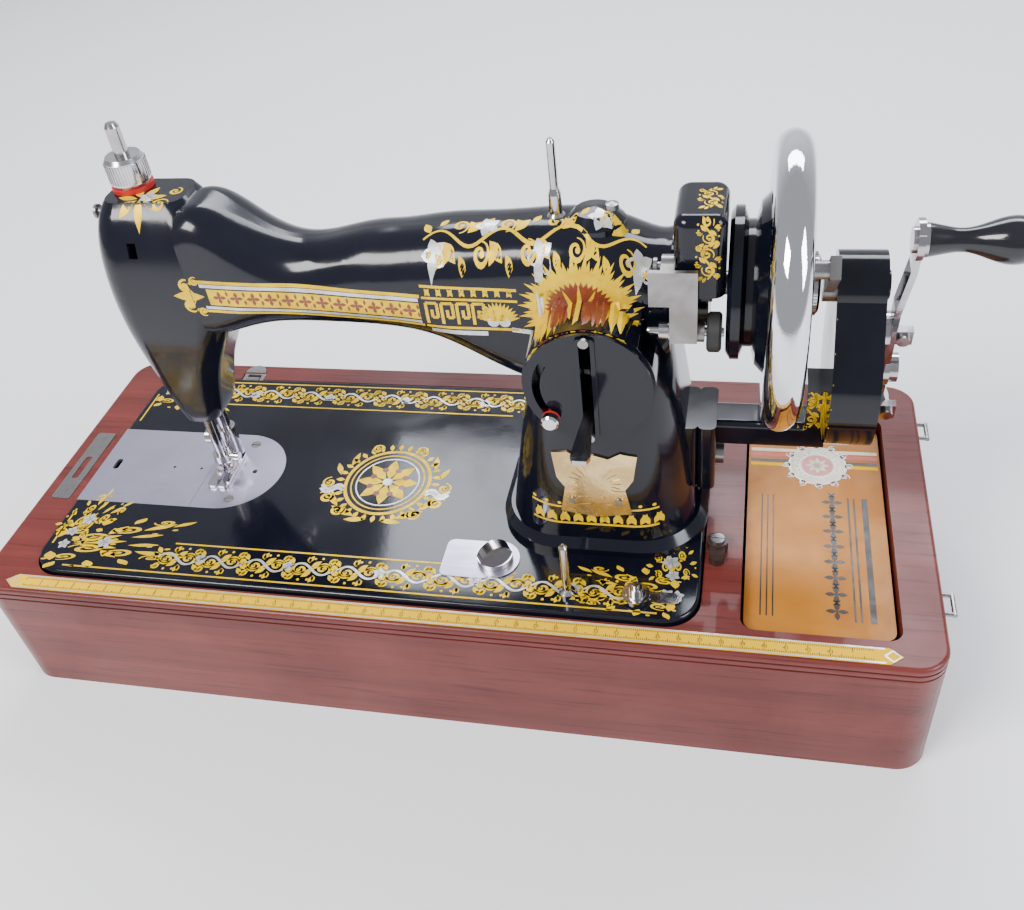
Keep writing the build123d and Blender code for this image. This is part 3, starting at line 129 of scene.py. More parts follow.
def maths(tree, operation, a, b=None, c=None):
    """One Math node; each operand is a number or a socket."""
    node = tree.nodes.new("ShaderNodeMath")
    node.operation = operation
    for socket, value in zip(node.inputs, (a, b, c)):
        if value is None:
            continue
        if isinstance(value, (int, float)):
            socket.default_value = value
        else:
            tree.links.new(value, socket)
    return node.outputs[0]


def mix_colour(tree, factor, a, b):
    """Colour a towards b by factor; each is a value or a socket."""
    node = tree.nodes.new("ShaderNodeMix")
    node.data_type = "RGBA"
    for label, value in ((0, factor), (6, a), (7, b)):
        if isinstance(value, (int, float)):
            node.inputs[label].default_value = value
        elif isinstance(value, tuple):
            node.inputs[label].default_value = (*value[:3], 1.0)
        else:
            tree.links.new(value, node.inputs[label])
    return node.outputs[2]


def object_point(tree):
    """The object coordinates of a shaded point."""
    return tree.nodes.new("ShaderNodeTexCoord").outputs["Object"]


def stretched(tree, given):
    """Object coordinates times the group's Stretch."""
    scaled = tree.nodes.new("ShaderNodeVectorMath")
    scaled.operation = "MULTIPLY"
    tree.links.new(object_point(tree), scaled.inputs[0])
    tree.links.new(given.outputs["Stretch"], scaled.inputs[1])
    return scaled.outputs[0]


def surface_group():
    """Soft stains, small speckles and a fine grain height, on object coordinates."""
    tree, given, out = group("Handled surface", (("Stain Scale", "NodeSocketFloat", 18.0),
                                                 ("Grain Scale", "NodeSocketFloat", 900.0)),
                             (("Stain", "NodeSocketFloat"), ("Speckle", "NodeSocketFloat"),
                              ("Height", "NodeSocketFloat")))
    where = object_point(tree)
    stain = noise(tree, where, given.outputs["Stain Scale"], 5.0, 0.6, 0.4)
    grain = noise(tree, where, given.outputs["Grain Scale"], 2.0)
    tree.links.new(ramp(tree, stain, 0.38, 0.66), out.inputs["Stain"])
    tree.links.new(ramp(tree, grain, 0.63, 0.72), out.inputs["Speckle"])
    tree.links.new(grain, out.inputs["Height"])
    return tree


def scratch_group():
    """Fine hairlines that run one way, as wiping and sliding leave on metal."""
    tree, given, out = group("Hairlines", (("Stretch", "NodeSocketVector", (12.0, 900.0, 900.0)),),
                             (("Lines", "NodeSocketFloat"),))
    tree.links.new(noise(tree, stretched(tree, given), 1.0, 2.0, 0.6), out.inputs["Lines"])
    return tree


def grain_group():
    """Straight wood grain along X, with darker pores and slow figure."""
    tree, given, out = group("Straight grain", (("Stretch", "NodeSocketVector", (2.0, 60.0, 60.0)),),
                             (("Figure", "NodeSocketFloat"), ("Pores", "NodeSocketFloat")))
    where = stretched(tree, given)
    tree.links.new(noise(tree, where, 1.0, 4.0, 0.6, 0.6), out.inputs["Figure"])
    tree.links.new(ramp(tree, noise(tree, where, 9.0, 2.0), 0.56, 0.7), out.inputs["Pores"])
    return tree


def place_group(tree, name):
    """A shader node group placed in a material."""
    node = tree.nodes.new("ShaderNodeGroup")
    node.node_tree = bpy.data.node_groups[name]
    return node


def finish(name, colour, worn, rough=(0.2, 0.4), metallic=0.0, coat=0.0, stain=18.0, grain=900.0,
           bump=0.1, lines=None, depth=0.6, speck=0.0, specular=0.5):
    """A material whose colour, roughness and height all vary: colour towards worn by stains."""
    material = bpy.data.materials.new(name)
    material.use_nodes = True
    tree = material.node_tree
    shader = tree.nodes["Principled BSDF"]
    shader.inputs["Metallic"].default_value = metallic
    shader.inputs["Coat Weight"].default_value = coat
    shader.inputs["Coat Roughness"].default_value = 0.04
    shader.inputs["Specular IOR Level"].default_value = specular
    surface = place_group(tree, "Handled surface")
    surface.inputs["Stain Scale"].default_value = stain
    surface.inputs["Grain Scale"].default_value = grain
    mask = maths(tree, "MULTIPLY", surface.outputs["Stain"], depth)
    if speck:
        specks = maths(tree, "MULTIPLY", surface.outputs["Speckle"], speck)
        mask = maths(tree, "MAXIMUM", mask, specks)
    spread = surface.outputs["Stain"]
    height = surface.outputs["Height"]
    if lines:
        hair = place_group(tree, "Hairlines")
        hair.inputs["Stretch"].default_value = lines
        rest = maths(tree, "MULTIPLY", spread, 0.3)
        spread = maths(tree, "MULTIPLY_ADD", hair.outputs["Lines"], 0.7, rest)
        height = hair.outputs["Lines"]
    tree.links.new(mix_colour(tree, mask, colour, worn), shader.inputs["Base Color"])
    tree.links.new(ramp(tree, spread, 0.0, 1.0, rough[0], rough[1]), shader.inputs["Roughness"])
    relief = tree.nodes.new("ShaderNodeBump")
    relief.inputs["Strength"].default_value = bump
    relief.inputs["Distance"].default_value = 0.0002
    tree.links.new(height, relief.inputs["Height"])
    tree.links.new(relief.outputs["Normal"], shader.inputs["Normal"])
    return material


def second_zone(material, mask_of, colour, rough, metallic):
    """Paints another finish over part of a material, where mask_of(tree) is 1."""
    tree = material.node_tree
    shader = tree.nodes["Principled BSDF"]
    mask = mask_of(tree)
    base = shader.inputs["Base Color"].links[0].from_socket
    tree.links.new(mix_colour(tree, mask, base, colour), shader.inputs["Base Color"])
    first = shader.inputs["Roughness"].links[0].from_socket
    fade = tree.nodes.new("ShaderNodeMix")
    fade.inputs[3].default_value = rough
    tree.links.new(mask, fade.inputs[0])
    tree.links.new(first, fade.inputs[2])
    tree.links.new(fade.outputs[0], shader.inputs["Roughness"])
    start = shader.inputs["Metallic"].default_value
    tree.links.new(ramp(tree, mask, 0.0, 1.0, start, metallic), shader.inputs["Metallic"])
    return material


def coordinate(tree, axis):
    """One of the three object coordinates."""
    split = tree.nodes.new("ShaderNodeSeparateXYZ")
    tree.links.new(object_point(tree), split.inputs[0])
    return split.outputs[axis]


def outside_radius(centre, radius):
    """Mask of what lies further than radius from the X axis through centre."""
    def mask(tree):
        dy = maths(tree, "SUBTRACT", coordinate(tree, "Y"), centre.y)
        dz = maths(tree, "SUBTRACT", coordinate(tree, "Z"), centre.z)
        square = maths(tree, "MULTIPLY_ADD", dy, dy, maths(tree, "MULTIPLY", dz, dz))
        return maths(tree, "GREATER_THAN", square, radius * radius)
    return mask


def past(axis, level, way="GREATER_THAN"):
    """Mask of what lies past a level on one axis."""
    return lambda tree: maths(tree, way, coordinate(tree, axis), level)


def wood(name, light, dark, rough, coat):
    """A finish with straight grain and open pores, which also give its relief."""
    material = finish(name, light, dark, rough=rough, coat=coat, stain=9.0, grain=700.0, bump=0.12,
                      depth=0.5, specular=0.3)
    tree = material.node_tree
    shader = tree.nodes["Principled BSDF"]
    lines = place_group(tree, "Straight grain")
    base = shader.inputs["Base Color"].links[0].from_socket
    figure = maths(tree, "MULTIPLY", ramp(tree, lines.outputs["Figure"], 0.35, 0.7), 0.7)
    toned = mix_colour(tree, figure, base, dark)
    pores = maths(tree, "MULTIPLY", lines.outputs["Pores"], 0.45)
    deep = tuple(c * 0.35 for c in dark)
    tree.links.new(mix_colour(tree, pores, toned, deep), shader.inputs["Base Color"])
    relief = shader.inputs["Normal"].links[0].from_node
    tree.links.new(maths(tree, "SUBTRACT", 1.0, lines.outputs["Pores"]), relief.inputs["Height"])
    return material


FINISH_OF = {
    "black enamel": ("bed", "arm", "crank_bracket", "gear_cover", "winder_bracket",
                     "regulator_disc"),
    "varnished wood": ("base_top_board", "base_wall_boards", "base_floor"),
    "turned button wood": ("turn_button",),
    "bare wood": ("bed_supports",),
    "satin plate": ("needle_plate", "slide_plate", "drop_feed_plate", "face_plate"),
    "dull steel": ("base_fittings", "hinge_brackets", "hinge_arms", "cover_screws", "frame_bolts",
                   "pivot_pins", "presser_spring", "bobbin_case", "bobbin", "main_shaft",
                   "driving_pinion", "needle_link", "crank_gear", "shuttle_shaft", "shuttle_hook",
                   "feed_bar", "feed_lift_shaft", "feed_rock_shaft", "winder_arm"),
    "nickel plate": ("spool_pins", "winder_tension", "drop_feed_knob", "stop_motion_knob",
                     "needle_bar", "needle", "take_up_lever", "presser_bar", "presser_foot",
                     "presser_lifter", "feed_lever", "tension_discs", "tension_nut", "crank_arm"),
    "bare casting": ("shuttle_race", "pitman_rods"),
    "sheet brass": ("pillar_plaque",),
    "bronze bush": ("bushings",),
    "plated and painted wheel": ("handwheel",),
    "nickel with red ring": ("pressure_screw",),
    "knob with red washer": ("stitch_knob",),
    "spindle and rubber": ("winder_spindle",),
    "yellow rule": ("ruler_strip",),
    "orange tin": ("accessory_box_lid", "accessory_box"),
    "black grip": ("crank_grip",),
}


def make_finishes(enamel, timber):
    """Every material, and the CAD nodes that wear them."""
    surface_group()
    scratch_group()
    grain_group()
    black, bloom = tuple(enamel.black), tuple(enamel.bloom)
    finish("black enamel", black, bloom, rough=(0.07, 0.2), coat=0.1, stain=14.0, grain=600.0, bump=0.05,
           depth=0.5, speck=0.05, specular=0.34)
    wood("varnished wood", tuple(timber.light), tuple(timber.dark), (0.28, 0.5), 0.12)
    wood("turned button wood", (0.05, 0.028, 0.022), (0.02, 0.01, 0.008), (0.25, 0.5), 0.2)
    wood("bare wood", (0.42, 0.27, 0.15), (0.24, 0.14, 0.07), (0.55, 0.75), 0.0)
    wood("black grip", (0.012, 0.012, 0.016), (0.005, 0.005, 0.007), (0.12, 0.3), 0.5)
    finish("satin plate", (0.52, 0.50, 0.62), (0.36, 0.33, 0.44), rough=(0.24, 0.42), metallic=0.85, bump=0.12,
           lines=(25.0, 700.0, 700.0), depth=0.6, speck=0.2)
    finish("dull steel", (0.36, 0.35, 0.35), (0.18, 0.155, 0.14), rough=(0.22, 0.42), metallic=0.9, bump=0.15,
           stain=40.0, speck=0.35)
    finish("nickel plate", (0.58, 0.56, 0.58), (0.32, 0.28, 0.27), rough=(0.07, 0.24), metallic=1.0, bump=0.05,
           stain=60.0, depth=0.5, speck=0.15)
    finish("bare casting", (0.16, 0.155, 0.15), (0.08, 0.06, 0.05), rough=(0.5, 0.7), metallic=0.6, bump=0.5,
           grain=500.0)
    finish("sheet brass", (0.78, 0.58, 0.28), (0.45, 0.28, 0.10), rough=(0.16, 0.36), metallic=1.0, bump=0.3,
           stain=70.0, grain=500.0)
    finish("bronze bush", (0.55, 0.38, 0.18), (0.25, 0.15, 0.07), rough=(0.25, 0.45), metallic=1.0)
    finish("gold leaf", tuple(enamel.gold), (0.52, 0.30, 0.0), rough=(0.34, 0.52), metallic=0.2, stain=120.0,
           bump=0.15, depth=0.55, speck=0.3, specular=0.3)
    finish("silver leaf", tuple(enamel.silver), (0.42, 0.40, 0.36), rough=(0.25, 0.45), metallic=0.5,
           stain=120.0, bump=0.15, depth=0.6, speck=0.3)
    finish("russet paint", (0.24, 0.05, 0.02), (0.12, 0.03, 0.015), rough=(0.2, 0.35), coat=0.1, stain=120.0)
    finish("rose paint", (0.75, 0.25, 0.22), (0.55, 0.15, 0.14), rough=(0.25, 0.4), stain=120.0)
    finish("black ink", (0.02, 0.018, 0.016), (0.08, 0.05, 0.03), rough=(0.3, 0.5), stain=90.0, speck=0.3)
    finish("red ink", (0.62, 0.05, 0.03), (0.45, 0.06, 0.03), rough=(0.3, 0.45), stain=90.0, speck=0.3)
    finish("cream ink", (0.85, 0.75, 0.52), (0.66, 0.55, 0.35), rough=(0.3, 0.45), stain=90.0, speck=0.3)
    finish("yellow rule", (0.95, 0.56, 0.0), (0.72, 0.40, 0.0), rough=(0.6, 0.8), stain=30.0, depth=0.4,
           speck=0.2, specular=0.15)
    finish("orange tin", (0.52, 0.20, 0.02), (0.36, 0.12, 0.012), rough=(0.3, 0.5), stain=22.0,
           depth=0.7, speck=0.3, specular=0.25)
    wheel = finish("plated and painted wheel", black, bloom, rough=(0.05, 0.12), depth=0.4, specular=0.4)
    second_zone(wheel, outside_radius(WHEEL_CENTRE, 50 * MM), (0.78, 0.78, 0.80), 0.05, 1.0)
    red_ring_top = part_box("arm")[1].z + 2.3 * MM
    nut = finish("nickel with red ring", (0.66, 0.65, 0.66), (0.40, 0.36, 0.34), rough=(0.12, 0.3),
                 metallic=1.0)
    second_zone(nut, past("Z", red_ring_top, "LESS_THAN"), (0.5, 0.02, 0.015), 0.35, 0.0)
    knob = finish("knob with red washer", (0.70, 0.69, 0.70), (0.42, 0.38, 0.36), rough=(0.1, 0.25),
                  metallic=1.0)
    washer_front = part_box("stitch_knob")[0].y + 4.05 * MM
    second_zone(knob, past("Y", washer_front), (0.45, 0.02, 0.015), 0.35, 0.0)
    spindle_low, spindle_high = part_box("winder_spindle")
    tyre = finish("spindle and rubber", (0.6, 0.6, 0.6), (0.4, 0.36, 0.34), rough=(0.15, 0.3), metallic=1.0)
    second_zone(tyre, outside_radius((spindle_low + spindle_high) / 2, 4.6 * MM), (0.02, 0.02, 0.02), 0.6, 0.0)
    for name, members in FINISH_OF.items():
        for member in members:
            node = NODES[member]
            node.data.materials.clear()
            node.data.materials.append(bpy.data.materials[name])


# ---- flat ornament, drawn in millimetres and laid on a surface
class Ornament:
    """Flat strips, leaves and discs in (u, v) millimetres."""

    def __init__(self):
        self.points = []
        self.faces = []

    def strip(self, path, width, taper=0.0):
        """A ribbon along a path, narrowing to taper times its width at both ends."""
        first = len(self.points)
        last = len(path) - 1
        for i, (u, v) in enumerate(path):
            ahead = path[min(i + 1, last)]
            behind = path[max(i - 1, 0)]
            du, dv = ahead[0] - behind[0], ahead[1] - behind[1]
            size = math.hypot(du, dv) or 1.0
            share = math.sin(math.pi * i / last)
            half = width / 2 * (taper + (1 - taper) * share) if taper < 1 else width / 2
            half = max(half, 0.04)
            self.points.append((u - dv / size * half, v + du / size * half))
            self.points.append((u + dv / size * half, v - du / size * half))
        for i in range(last):
            a = first + 2 * i
            self.faces.append((a, a + 1, a + 3, a + 2))

    def scroll(self, u, v, radius, turn, hand=1, turns=1.35, width=1.0):
        """A spiral that winds in to (u, v), from radius at the angle turn."""
        steps = 22
        shares = [i / steps for i in range(steps + 1)]
        path = [polar(u, v, radius * (1 - 0.82 * t), turn + hand * 360 * turns * t) for t in shares]
        self.strip(path, width, 0.35)
        self.disc(path[-1][0], path[-1][1], width * 0.75)

    def disc(self, u, v, radius, sides=10):
        """A filled circle."""
        first = len(self.points)
        self.points.append((u, v))
        for i in range(sides):
            self.points.append(polar(u, v, radius, 360 * i / sides))
            self.faces.append((first, first + 1 + i, first + 1 + (i + 1) % sides))

    def ring(self, u, v, radius, width, sides=40, squash=1.0):
        """An even line round a circle or an ellipse."""
        self.line([polar(u, v, radius, 360 * i / sides, squash) for i in range(sides + 1)], width)

    def line(self, path, width):
        """An even ribbon along a path."""
        self.strip(path, width, 1.0)

    def leaf(self, u, v, turn, length, width, steps=8):
        """A pointed leaf that starts at (u, v) and points along turn degrees."""
        self.strip([polar(u, v, length * i / steps, turn) for i in range(steps + 1)], width, 0.0)

    def leaves(self, shoots, side=1):
        """Several leaves as (u, v, turn, length, width), on either side of the u axis."""
        for u, v, turn, length, width in shoots:
            self.leaf(u, side * v, side * turn, length, width)

    def block(self, low, high, cells=1):
        """A filled rectangle in columns of cells."""
        first = len(self.points)
        for i in range(cells + 1):
            u = low[0] + (high[0] - low[0]) * i / cells
            self.points.append((u, low[1]))
            self.points.append((u, high[1]))
        for i in range(cells):
            a = first + 2 * i
            self.faces.append((a, a + 2, a + 3, a + 1))

    def add(self, other, u=0.0, v=0.0, turn=0.0, size=1.0, mirror=1):
        """A copy of another ornament, turned, sized and moved."""
        first = len(self.points)
        a = math.radians(turn)
        for pu, pv in other.points:
            x, y = pu * size, pv * size * mirror
            self.points.append((u + x * math.cos(a) - y * math.sin(a),
                                v + x * math.sin(a) + y * math.cos(a)))
        for face in other.faces:
            corners = tuple(first + i for i in face)
            self.faces.append(corners if mirror > 0 else corners[::-1])

    def laid(self, name, place, material, body=None, slot="black_enamel"):
        """The ornament as a mesh, each point put where place(u, v) says."""
        spots = [place(u, v) for u, v in self.points]
        faces = [f for f in self.faces if all(spots[i] is not None for i in f)]
        kept = [f for f in faces if max((spots[f[0]] - spots[i]).length for i in f) < LONGEST_FACE]
        order = sorted({i for f in kept for i in f})
        index = {old: new for new, old in enumerate(order)}
        mesh = bpy.data.meshes.new(name)
        mesh.from_pydata([spots[i] for i in order], [], [tuple(index[i] for i in f) for f in kept])
        mesh.materials.append(bpy.data.materials[material])
        mesh.validate()
        return riding(placed(name, mesh), body)


def tree_of(node):
    """A ray target of a CAD node."""
    mesh = NODES[node].data
    mesh.calc_loop_triangles()
    return BVHTree.FromPolygons([v.co.copy() for v in mesh.vertices],
                                [tuple(t.vertices) for t in mesh.loop_triangles])


def cast_on(target, start, along, lift=LIFT):
    """place(u, v) by a ray from start(u, v) along a direction onto a target."""
    along = Vector(along)

    def place(u, v):
        spot, normal, _, _ = target.ray_cast(start(u, v), along)
        if spot is None:
            return None
        if normal.dot(along) > 0:
            normal = -normal
        if normal.dot(along) > -0.12:
            return None
        return spot + normal * lift * MM
    return place


def flat_on(z):
    """place(u, v) at a height in millimetres over the bed."""
    return lambda u, v: on_machine(u, v, z)


def scroll_motif():
    """One repeat of the border: a wave with two scrolls, leaves and buds."""
    motif = Ornament()
    motif.strip([(x, 3.2 * math.sin(x * math.tau / 26)) for x in range(-13, 14)], 1.5, 0.8)
    motif.scroll(-6.2, -0.8, 5.0, 60, 1, 1.35, 1.6)
    motif.scroll(6.4, 0.8, 5.0, 240, 1, 1.35, 1.6)
    shoots = ((-11.0, 3.2, 128, 5.6, 2.8), (-3.0, 4.6, 70, 5.0, 2.6), (-0.6, 1.6, 42, 6.4, 3.0),
              (2.4, -4.2, 288, 4.4, 2.4), (9.8, 3.6, 62, 5.4, 2.6), (11.8, -1.2, 330, 4.6, 2.4),
              (-8.6, -4.6, 236, 4.6, 2.4))
    for half in (180, 0):
        side = -1 if half else 1
        for u, v, turn, length, width in shoots:
            motif.leaf(u * side, v * side, turn + half, length, width)
    for u, v in ((0.0, 7.4), (-12.6, -6.4), (4.4, 7.8), (12.4, 6.4), (0.0, -7.4), (-5.0, -7.8)):
        motif.disc(u, v, 0.8, 8)
    return motif


def ribbon_motif():
    """The silver ribbon that winds through one repeat of the border."""
    motif = Ornament()
    motif.strip([(x / 2, -3.6 * math.sin(x / 2 * math.tau / 26)) for x in range(-25, 26)], 1.5, 0.55)
    return motif


def spray():
    """A corner spray that opens along +u, about 40 mm long."""
    made = Ornament()
    shoots = ((5, 2, 26, 14, 4.6), (13, 10, 60, 11, 4.0), (-3, 9, 84, 11, 3.8), (21, 5, 8, 10, 3.6),
              (24, 13, 34, 12, 4.0), (10, 22, 80, 9, 3.4), (0, 22, 110, 8, 3.0), (33, 16, 40, 9, 3.0),
              (20, 22, 66, 8, 3.0))
    for side in (-1, 1):
        made.scroll(8, side * 7, 6.4, side * 200, side, 1.35, 2.0)
        made.scroll(19, side * 15, 5.2, side * 150, side, 1.3, 1.8)
        made.scroll(2, side * 16, 4.2, side * 120, -side, 1.2, 1.5)
        made.scroll(30, side * 22, 3.6, side * 170, side, 1.2, 1.4)
        made.leaves(shoots, side)
        for u, v in ((16, 3), (28, 8), (6, 28), (-4, 18), (34, 12)):
            made.disc(u, side * v, 1.0, 8)
    made.leaf(3, 0, 0, 17, 5.0)
    return made


def flower():
    """A five-petalled flower with a small centre."""
    made = Ornament()
    for i in range(5):
        made.leaf(0, 0, 90 + i * 72, 3.2, 2.2)
    return made


# ---- what repeats, made by geometry trees
def socket_of(tree, name):
    """The identifier of a tree's input."""
    return next(i.identifier for i in tree.interface.items_tree
                if i.item_type == "SOCKET" and i.in_out == "INPUT" and i.name == name)


def nodes_tree(name, inputs):
    """A geometry tree with a Geometry input and output and the named inputs."""
    tree = bpy.data.node_groups.new(name, "GeometryNodeTree")
    tree.interface.new_socket(name="Geometry", in_out="INPUT", socket_type="NodeSocketGeometry")
    for label, kind in inputs:
        tree.interface.new_socket(name=label, in_out="INPUT", socket_type=kind)
    tree.interface.new_socket(name="Geometry", in_out="OUTPUT", socket_type="NodeSocketGeometry")
    return tree, tree.nodes.new("NodeGroupInput"), tree.nodes.new("NodeGroupOutput")


def wire(tree, *links):
    """Links given as (node, output, node, input)."""
    for source, output, target, entry in links:
        tree.links.new(source.outputs[output], target.inputs[entry])


def ending(tree, given, out, lay):
    """Realize Instances, then Set Material, then the output."""
    real = tree.nodes.new("GeometryNodeRealizeInstances")
    paint = tree.nodes.new("GeometryNodeSetMaterial")
    wire(tree, (lay, "Instances", real, "Geometry"), (real, "Geometry", paint, "Geometry"),
         (given, "Material", paint, "Material"), (paint, "Geometry", out, "Geometry"))
    return tree


def border_tree():
    """Copies of a motif spaced along a path, each turned along it."""
    tree, given, out = nodes_tree("Border of repeats", (("Motif", "NodeSocketObject"),
                                                        ("Spacing", "NodeSocketFloat"),
                                                        ("Material", "NodeSocketMaterial")))
    curve = tree.nodes.new("GeometryNodeMeshToCurve")
    even = tree.nodes.new("GeometryNodeResampleCurve")
    even.mode = "LENGTH"
    tangent = tree.nodes.new("GeometryNodeInputTangent")
    turn = tree.nodes.new("FunctionNodeAlignRotationToVector")
    turn.axis = "X"
    motif = tree.nodes.new("GeometryNodeObjectInfo")
    lay = tree.nodes.new("GeometryNodeInstanceOnPoints")
    wire(tree, (given, "Geometry", curve, "Mesh"), (curve, "Curve", even, "Curve"),
         (given, "Spacing", even, "Length"), (even, "Curve", lay, "Points"),
         (given, "Motif", motif, "Object"), (motif, "Geometry", lay, "Instance"),
         (tangent, "Tangent", turn, "Vector"), (turn, "Rotation", lay, "Rotation"))
    return ending(tree, given, out, lay)


def tick_tree():
    """A row of equal bars along X, every so many apart."""
    tree, given, out = nodes_tree("Row of bars", (("Count", "NodeSocketInt"), ("Pitch", "NodeSocketFloat"),
                                                  ("Bar", "NodeSocketVector"),
                                                  ("Material", "NodeSocketMaterial")))
    line = tree.nodes.new("GeometryNodeMeshLine")
    step = tree.nodes.new("ShaderNodeCombineXYZ")
    bar = tree.nodes.new("GeometryNodeMeshCube")
    lay = tree.nodes.new("GeometryNodeInstanceOnPoints")
    wire(tree, (given, "Count", line, "Count"), (given, "Pitch", step, "X"),
         (step, "Vector", line, "Offset"), (given, "Bar", bar, "Size"),
         (line, "Mesh", lay, "Points"), (bar, "Mesh", lay, "Instance"))
    return ending(tree, given, out, lay)


def rib_tree():
    """Upright ribs round a circle, for a knurled edge."""
    tree, given, out = nodes_tree("Ring of ribs", (("Count", "NodeSocketInt"), ("Radius", "NodeSocketFloat"),
                                                   ("Rib", "NodeSocketVector"),
                                                   ("Material", "NodeSocketMaterial")))
    circle = tree.nodes.new("GeometryNodeMeshCircle")
    where = tree.nodes.new("GeometryNodeInputPosition")
    turn = tree.nodes.new("FunctionNodeAlignRotationToVector")
    turn.axis = "X"
    rib = tree.nodes.new("GeometryNodeMeshCube")
    lay = tree.nodes.new("GeometryNodeInstanceOnPoints")
    wire(tree, (given, "Count", circle, "Vertices"), (given, "Radius", circle, "Radius"),
         (circle, "Mesh", lay, "Points"), (where, "Position", turn, "Vector"),
         (turn, "Rotation", lay, "Rotation"), (given, "Rib", rib, "Size"),
         (rib, "Mesh", lay, "Instance"))
    return ending(tree, given, out, lay)


def plain_mesh(thing):
    """The evaluated object as a mesh of its own."""
    bpy.context.view_layer.update()
    return bpy.data.meshes.new_from_object(thing.evaluated_get(bpy.context.evaluated_depsgraph_get()))


def grown(name, tree, values, start=None, place=Matrix.Identity(4), body=None):
    """Runs a geometry tree on a start mesh and keeps the result as a plain mesh at place."""
    mesh = start or bpy.data.meshes.new(name + " start")
    holder = placed(name + " start", mesh)
    modifier = holder.modifiers.new("Made", "NODES")
    modifier.node_group = tree
    for label, value in values.items():
        modifier[socket_of(tree, label)] = value
    made = plain_mesh(holder)
    holder.modifiers.remove(modifier)
    bpy.data.objects.remove(holder)
    bpy.data.meshes.remove(mesh)
    made.name = name
    made.transform(place)
    return riding(placed(name, made), body)


def flat_of(mesh):
    """A flat mesh in metres as an Ornament in millimetres."""
    made = Ornament()
    made.points = [(v.co.x / MM, v.co.y / MM) for v in mesh.vertices]
    made.faces = [tuple(p.vertices) for p in mesh.polygons]
    return made


def along(path, motif, spacing):
    """A motif repeated along a flat path by the border tree, as an Ornament."""
    ghost_mesh = bpy.data.meshes.new("motif")
    ghost_mesh.from_pydata([(u * MM, v * MM, 0) for u, v in motif.points], [], motif.faces)
    ghost = placed("motif", ghost_mesh)
    line = bpy.data.meshes.new("run")
    edges = [(i, i + 1) for i in range(len(path) - 1)]
    line.from_pydata([(u * MM, v * MM, 0) for u, v in path], edges, [])
    tree = bpy.data.node_groups.get("Border of repeats") or border_tree()
    values = {"Motif": ghost, "Spacing": spacing * MM, "Material": bpy.data.materials["gold leaf"]}
    piece = grown("run", tree, values, start=line)
    made = flat_of(piece.data)
    bpy.data.objects.remove(piece)
    bpy.data.objects.remove(ghost)
    return made


def crest():
    """The gilt part of the bed's centre device, about 76 mm wide."""
    device = Ornament()
    device.ring(0, 0, 25, 2.0, 60, 1.05)
    device.ring(0, 0, 21.6, 0.9, 60, 1.05)
    for i in range(32):
        turn = 360 * i / 32
        device.leaf(*polar(0, 0, 26.4, turn, 27.6 / 26.4), turn, 5.4, 2.8)
    for turn in range(0, 360, 45):
        device.leaf(*polar(0, 0, 2.6, turn), turn, 16.0, 6.8)
    for side in (-1, 1):
        device.scroll(side * 33, -15, 5.4, 90 - side * 60, side, 1.35, 2.0)
        device.scroll(side * 35, -3, 4.4, 90, -side, 1.3, 1.7)
        device.scroll(side * 23, -25, 4.6, 90 + side * 40, side, 1.3, 1.8)
        device.leaf(side * 12, -29, 90 - side * 66, 17, 4.6)
        device.leaf(side * 24, -22, 90 - side * 40, 14, 4.0)
        device.leaf(side * 4, -31, 90 - side * 95, 13, 3.8)
        device.leaf(side * 30, 4, 90 - side * 25, 11, 3.4)
        device.leaf(side * 26, 12, 90 + side * 8, 12, 3.4)
        device.scroll(side * 14, 28, 4.0, 90 + side * 90, -side, 1.3, 1.6)
    return device


